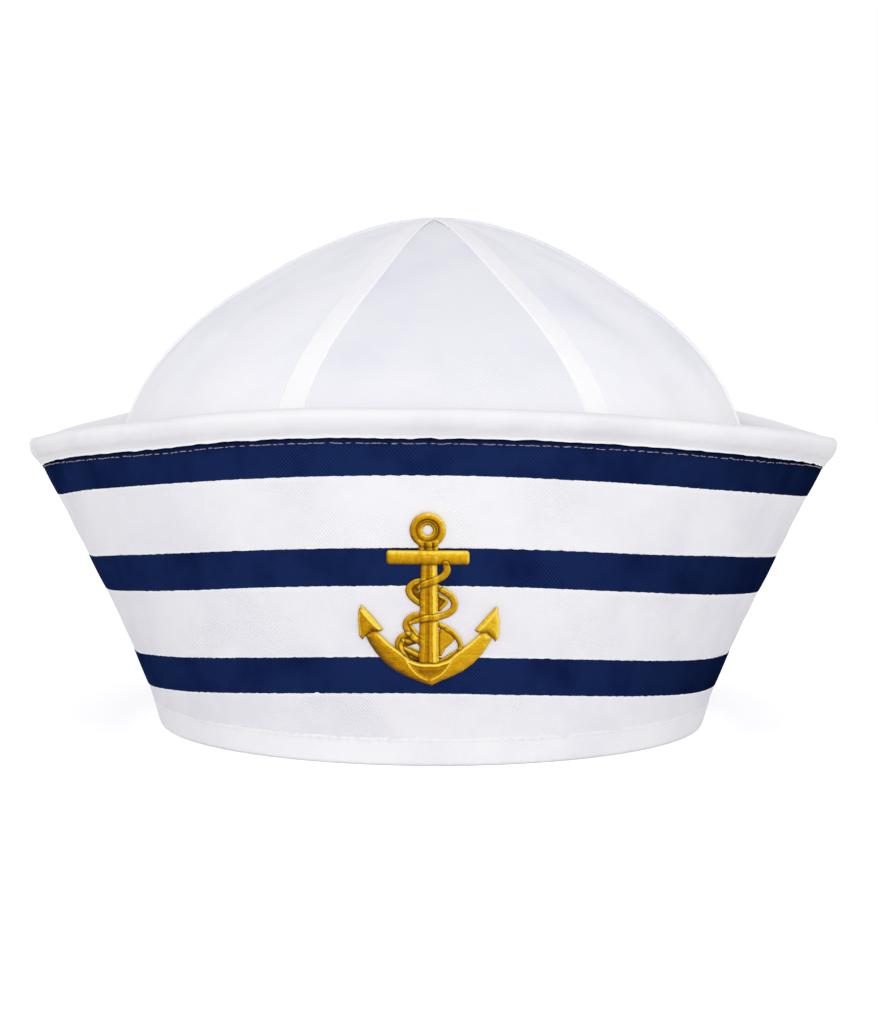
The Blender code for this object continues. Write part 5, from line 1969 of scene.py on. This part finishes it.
@dataclass(frozen=True)
class GoldThread:
    """Rayon embroidery thread, gold dyed and laid in satin stitch, with painted light and shade: bright
    along its crowns, brown with painted shade in the creases."""

    name: str = "gold_satin_stitch"
    shades: tuple[str, ...] = ("#6f4800", "#a87300", "#ca9400", "#e4b41c", "#ffdf52")
    tones: tuple[float, float] = (-0.65, 1.35)
    mottle: float = 0.7
    mottle_mm: float = 0.8
    crease: str = "#4f3000"
    crease_share: float = 0.8
    fibre_mm: float = 0.25
    fibre_relief_mm: float = 0.04
    roughness: float = 0.45
    metallic: float = 0.25
    gloss: float = 0.1

    def material(self) -> bpy.types.Material:
        """A material with a ramp over the tone mark, browned by the crease mark."""
        values = {"Roughness": self.roughness, "Metallic": self.metallic, "Specular IOR Level": self.gloss}
        material, tree, shader = start_material(self.name, values)
        cloth = add_node(tree, "UVMap", uv_map=CLOTH_MAP)
        tone, crease = (
            add_node(tree, "Attribute", attribute_name=mark).outputs["Fac"] for mark in ("tone", "crease")
        )
        patches = {"Scale": 1.0 / (self.mottle_mm * MM), "Detail": 3.0}
        uneven = add_node(tree, "TexNoise", patches, {"Vector": cloth})
        mottled = add_node(tree, "Math", {1: self.mottle}, {0: uneven, 2: tone}, operation="MULTIPLY_ADD")
        spread = {"From Min": self.tones[0], "From Max": self.tones[1]}
        share = add_node(tree, "MapRange", spread, {"Value": mottled})
        ramp = add_node(tree, "ValToRGB", links={"Fac": share})
        stops = ramp.color_ramp.elements
        stops[0].color, stops[1].color = linear(self.shades[0]), linear(self.shades[-1])
        for number, shade in enumerate(self.shades[1:-1], start=1):
            stops.new(number / (len(self.shades) - 1)).color = linear(shade)
        # Painted shade in the creases, in brown
        crease_shade = add_node(tree, "Math", {1: self.crease_share}, {0: crease}, operation="MULTIPLY")
        colour = add_node(
            tree, "Mix", {MIX_SECOND: linear(self.crease)}, {MIX_FACTOR: crease_shade, MIX_FIRST: ramp},
            data_type="RGBA",
        )
        fine = {"Scale": 1.0 / (self.fibre_mm * MM), "Detail": 2.0}
        fibres = add_node(tree, "TexNoise", fine, {"Vector": cloth})
        relief = {"Strength": 0.5, "Distance": self.fibre_relief_mm * MM}
        bump = add_node(tree, "Bump", relief, {"Height": fibres})
        feed(shader, {"Normal": bump, "Base Color": colour.outputs[MIX_RESULT]})
        return material


class SoftLight(NamedTuple):
    """A square softbox a metre wide: where it is and its power in watts."""

    name: str
    place: tuple[float, float, float]
    power: float


@dataclass
class Studio:
    """A plain pale floor, soft lights and the camera at the photograph's angle.

    The camera was fitted to the outlines of the rim, hem, stripes and crown.
    """

    camera_place: tuple[float, float, float] = (0.0021, -0.8, 0.10865)
    pitch_down: float = 0.05671
    roll: float = 0.00427
    focal_pixels: float = 2535.5
    image_height: int = 1036
    sensor: float = 36.0
    target: tuple[float, float, float] = (0.0, 0.0, 0.07)
    lights: tuple[SoftLight, ...] = (
        SoftLight("front_light", (0.0, -2.0, 0.5), 10.4),
        SoftLight("key_light", (0.9, -1.6, 1.2), 2.4),
        SoftLight("left_light", (-2.0, -0.3, 0.8), 4.6),
        SoftLight("right_light", (2.0, -0.3, 0.8), 3.2),
    )
    light_size: float = 1.0
    backdrop: float = 1.0
    ambient: float = 0.69
    floor_colour: str = "#fbfbfc"
    floor_roughness: float = 0.9
    floor_half: float = 4.0
    floor_glow: tuple[float, float] = (0.36, 0.48)
    glow_between: tuple[float, float] = (0.2, 1.2)

    def build(self) -> None:
        """Add the camera, the lights, the world and the floor."""
        self.add_camera()
        for light in self.lights:
            self.add_light(light)
        self.add_world()
        self.add_floor()
        bpy.context.scene.view_settings.view_transform = "Standard"

    def add_camera(self) -> None:
        """The photograph's camera: pitched down, then turned a little about its own axis."""
        data = bpy.data.cameras.new("camera")
        data.sensor_width = self.sensor
        data.lens = self.focal_pixels * self.sensor / self.image_height
        camera = add_object("camera", data)
        upright = Matrix.Rotation(math.pi / 2.0 - self.pitch_down, 4, "X")
        turned = upright @ Matrix.Rotation(self.roll, 4, "Z")
        camera.matrix_world = Matrix.Translation(self.camera_place) @ turned
        bpy.context.scene.camera = camera

    def add_light(self, light: SoftLight) -> None:
        """A softbox that faces the cap."""
        data = bpy.data.lights.new(light.name, "AREA")
        data.size = self.light_size
        data.energy = light.power
        lamp = add_object(light.name, data)
        lamp.location = light.place
        toward = Vector(self.target) - Vector(light.place)
        lamp.rotation_euler = toward.to_track_quat("-Z", "Y").to_euler()

    def add_world(self) -> None:
        """A white backdrop that lights the cap less than it shows."""
        world = bpy.data.worlds.new("studio")
        bpy.context.scene.world = world
        world.use_nodes = True
        tree = world.node_tree
        tree.nodes.clear()
        seen = add_node(tree, "LightPath").outputs["Is Camera Ray"]
        spread = {"To Min": self.ambient, "To Max": self.backdrop}
        strength = add_node(tree, "MapRange", spread, {"Value": seen})
        sky = add_node(tree, "Background", {"Color": (1.0, 1.0, 1.0, 1.0)}, {"Strength": strength})
        add_node(tree, "OutputWorld", links={"Surface": sky})

    def floor_material(self) -> bpy.types.Material:
        """A matt white sheet that glows more and more away from the cap, as a sweep lit from behind.
        The glow is for the picture alone: the cap is lit by the matt sheet."""
        material, tree, shader = start_material("pale_floor", {
            "Base Color": linear(self.floor_colour), "Roughness": self.floor_roughness,
            "Specular IOR Level": 0.0, "Emission Color": (1.0, 1.0, 1.0, 1.0),
        })
        place = add_node(tree, "TexCoord").outputs["Object"]
        away = add_node(tree, "VectorMath", links={0: place}, operation="LENGTH").outputs["Value"]
        (start, end), (least, most) = self.glow_between, self.floor_glow
        spread = {"From Min": start, "From Max": end, "To Min": least, "To Max": most}
        glow = add_node(tree, "MapRange", spread, {"Value": away})
        seen = add_node(tree, "LightPath").outputs["Is Camera Ray"]
        shining = add_node(tree, "Math", links={0: glow, 1: seen}, operation="MULTIPLY")
        feed(shader, {"Emission Strength": shining})
        return material

    def add_floor(self) -> None:
        """A plain pale floor, just under the hem."""
        half = self.floor_half
        corners_round = [(x * half, y * half, 0.0) for x, y in ((-1, -1), (1, -1), (1, 1), (-1, 1))]
        mesh = bpy.data.meshes.new("floor")
        mesh.from_pydata(corners_round, [], [(0, 1, 2, 3)])
        mesh.materials.append(self.floor_material())
        add_object("floor", mesh)


def corners(box: tuple[Vector, Vector]) -> list[list[float]]:
    """A box's two corners as plain lists."""
    return [list(corner) for corner in box]


def main() -> None:
    """Build every sub-assembly in order and report each piece."""
    logging.basicConfig(level=logging.INFO, format="%(name)s: %(message)s")
    Studio().build()
    brim, crown = BrimShape(), CrownShape()
    BrimWall(brim).build().add(BRIM_TWILL.material())
    navy = NAVY_TWILL.material()
    for number, ribbon in enumerate(RIBBONS, start=1):
        StripeRibbon(brim, number, ribbon).build().add(navy)
    RimRoll(brim).build().add(ROLL_TWILL.material())
    hem = HemBand(brim)
    hem.build().add(HEM_TWILL.material())
    HemStitching(brim, hem).build().add(WHITE_THREAD.material())
    RimStitching(brim).build().add(ROSE_THREAD.material())
    front_twill, side_twill = CROWN_TWILL.material(), SIDE_TWILL.material()
    for number in range(1, len(crown.seams) + 1):
        Gore(crown, number).build().add(front_twill if number == 1 else side_twill)
    tapes = SeamTapes(crown)
    tape_cloth = TAPE_CLOTH.material()
    for piece in tapes.build():
        piece.add(tape_cloth)
    tapes.stitching().add(TAPE_THREAD.material())
    AnchorBadge(brim).build().add(GoldThread().material())


if __name__ == "__main__":
    main()
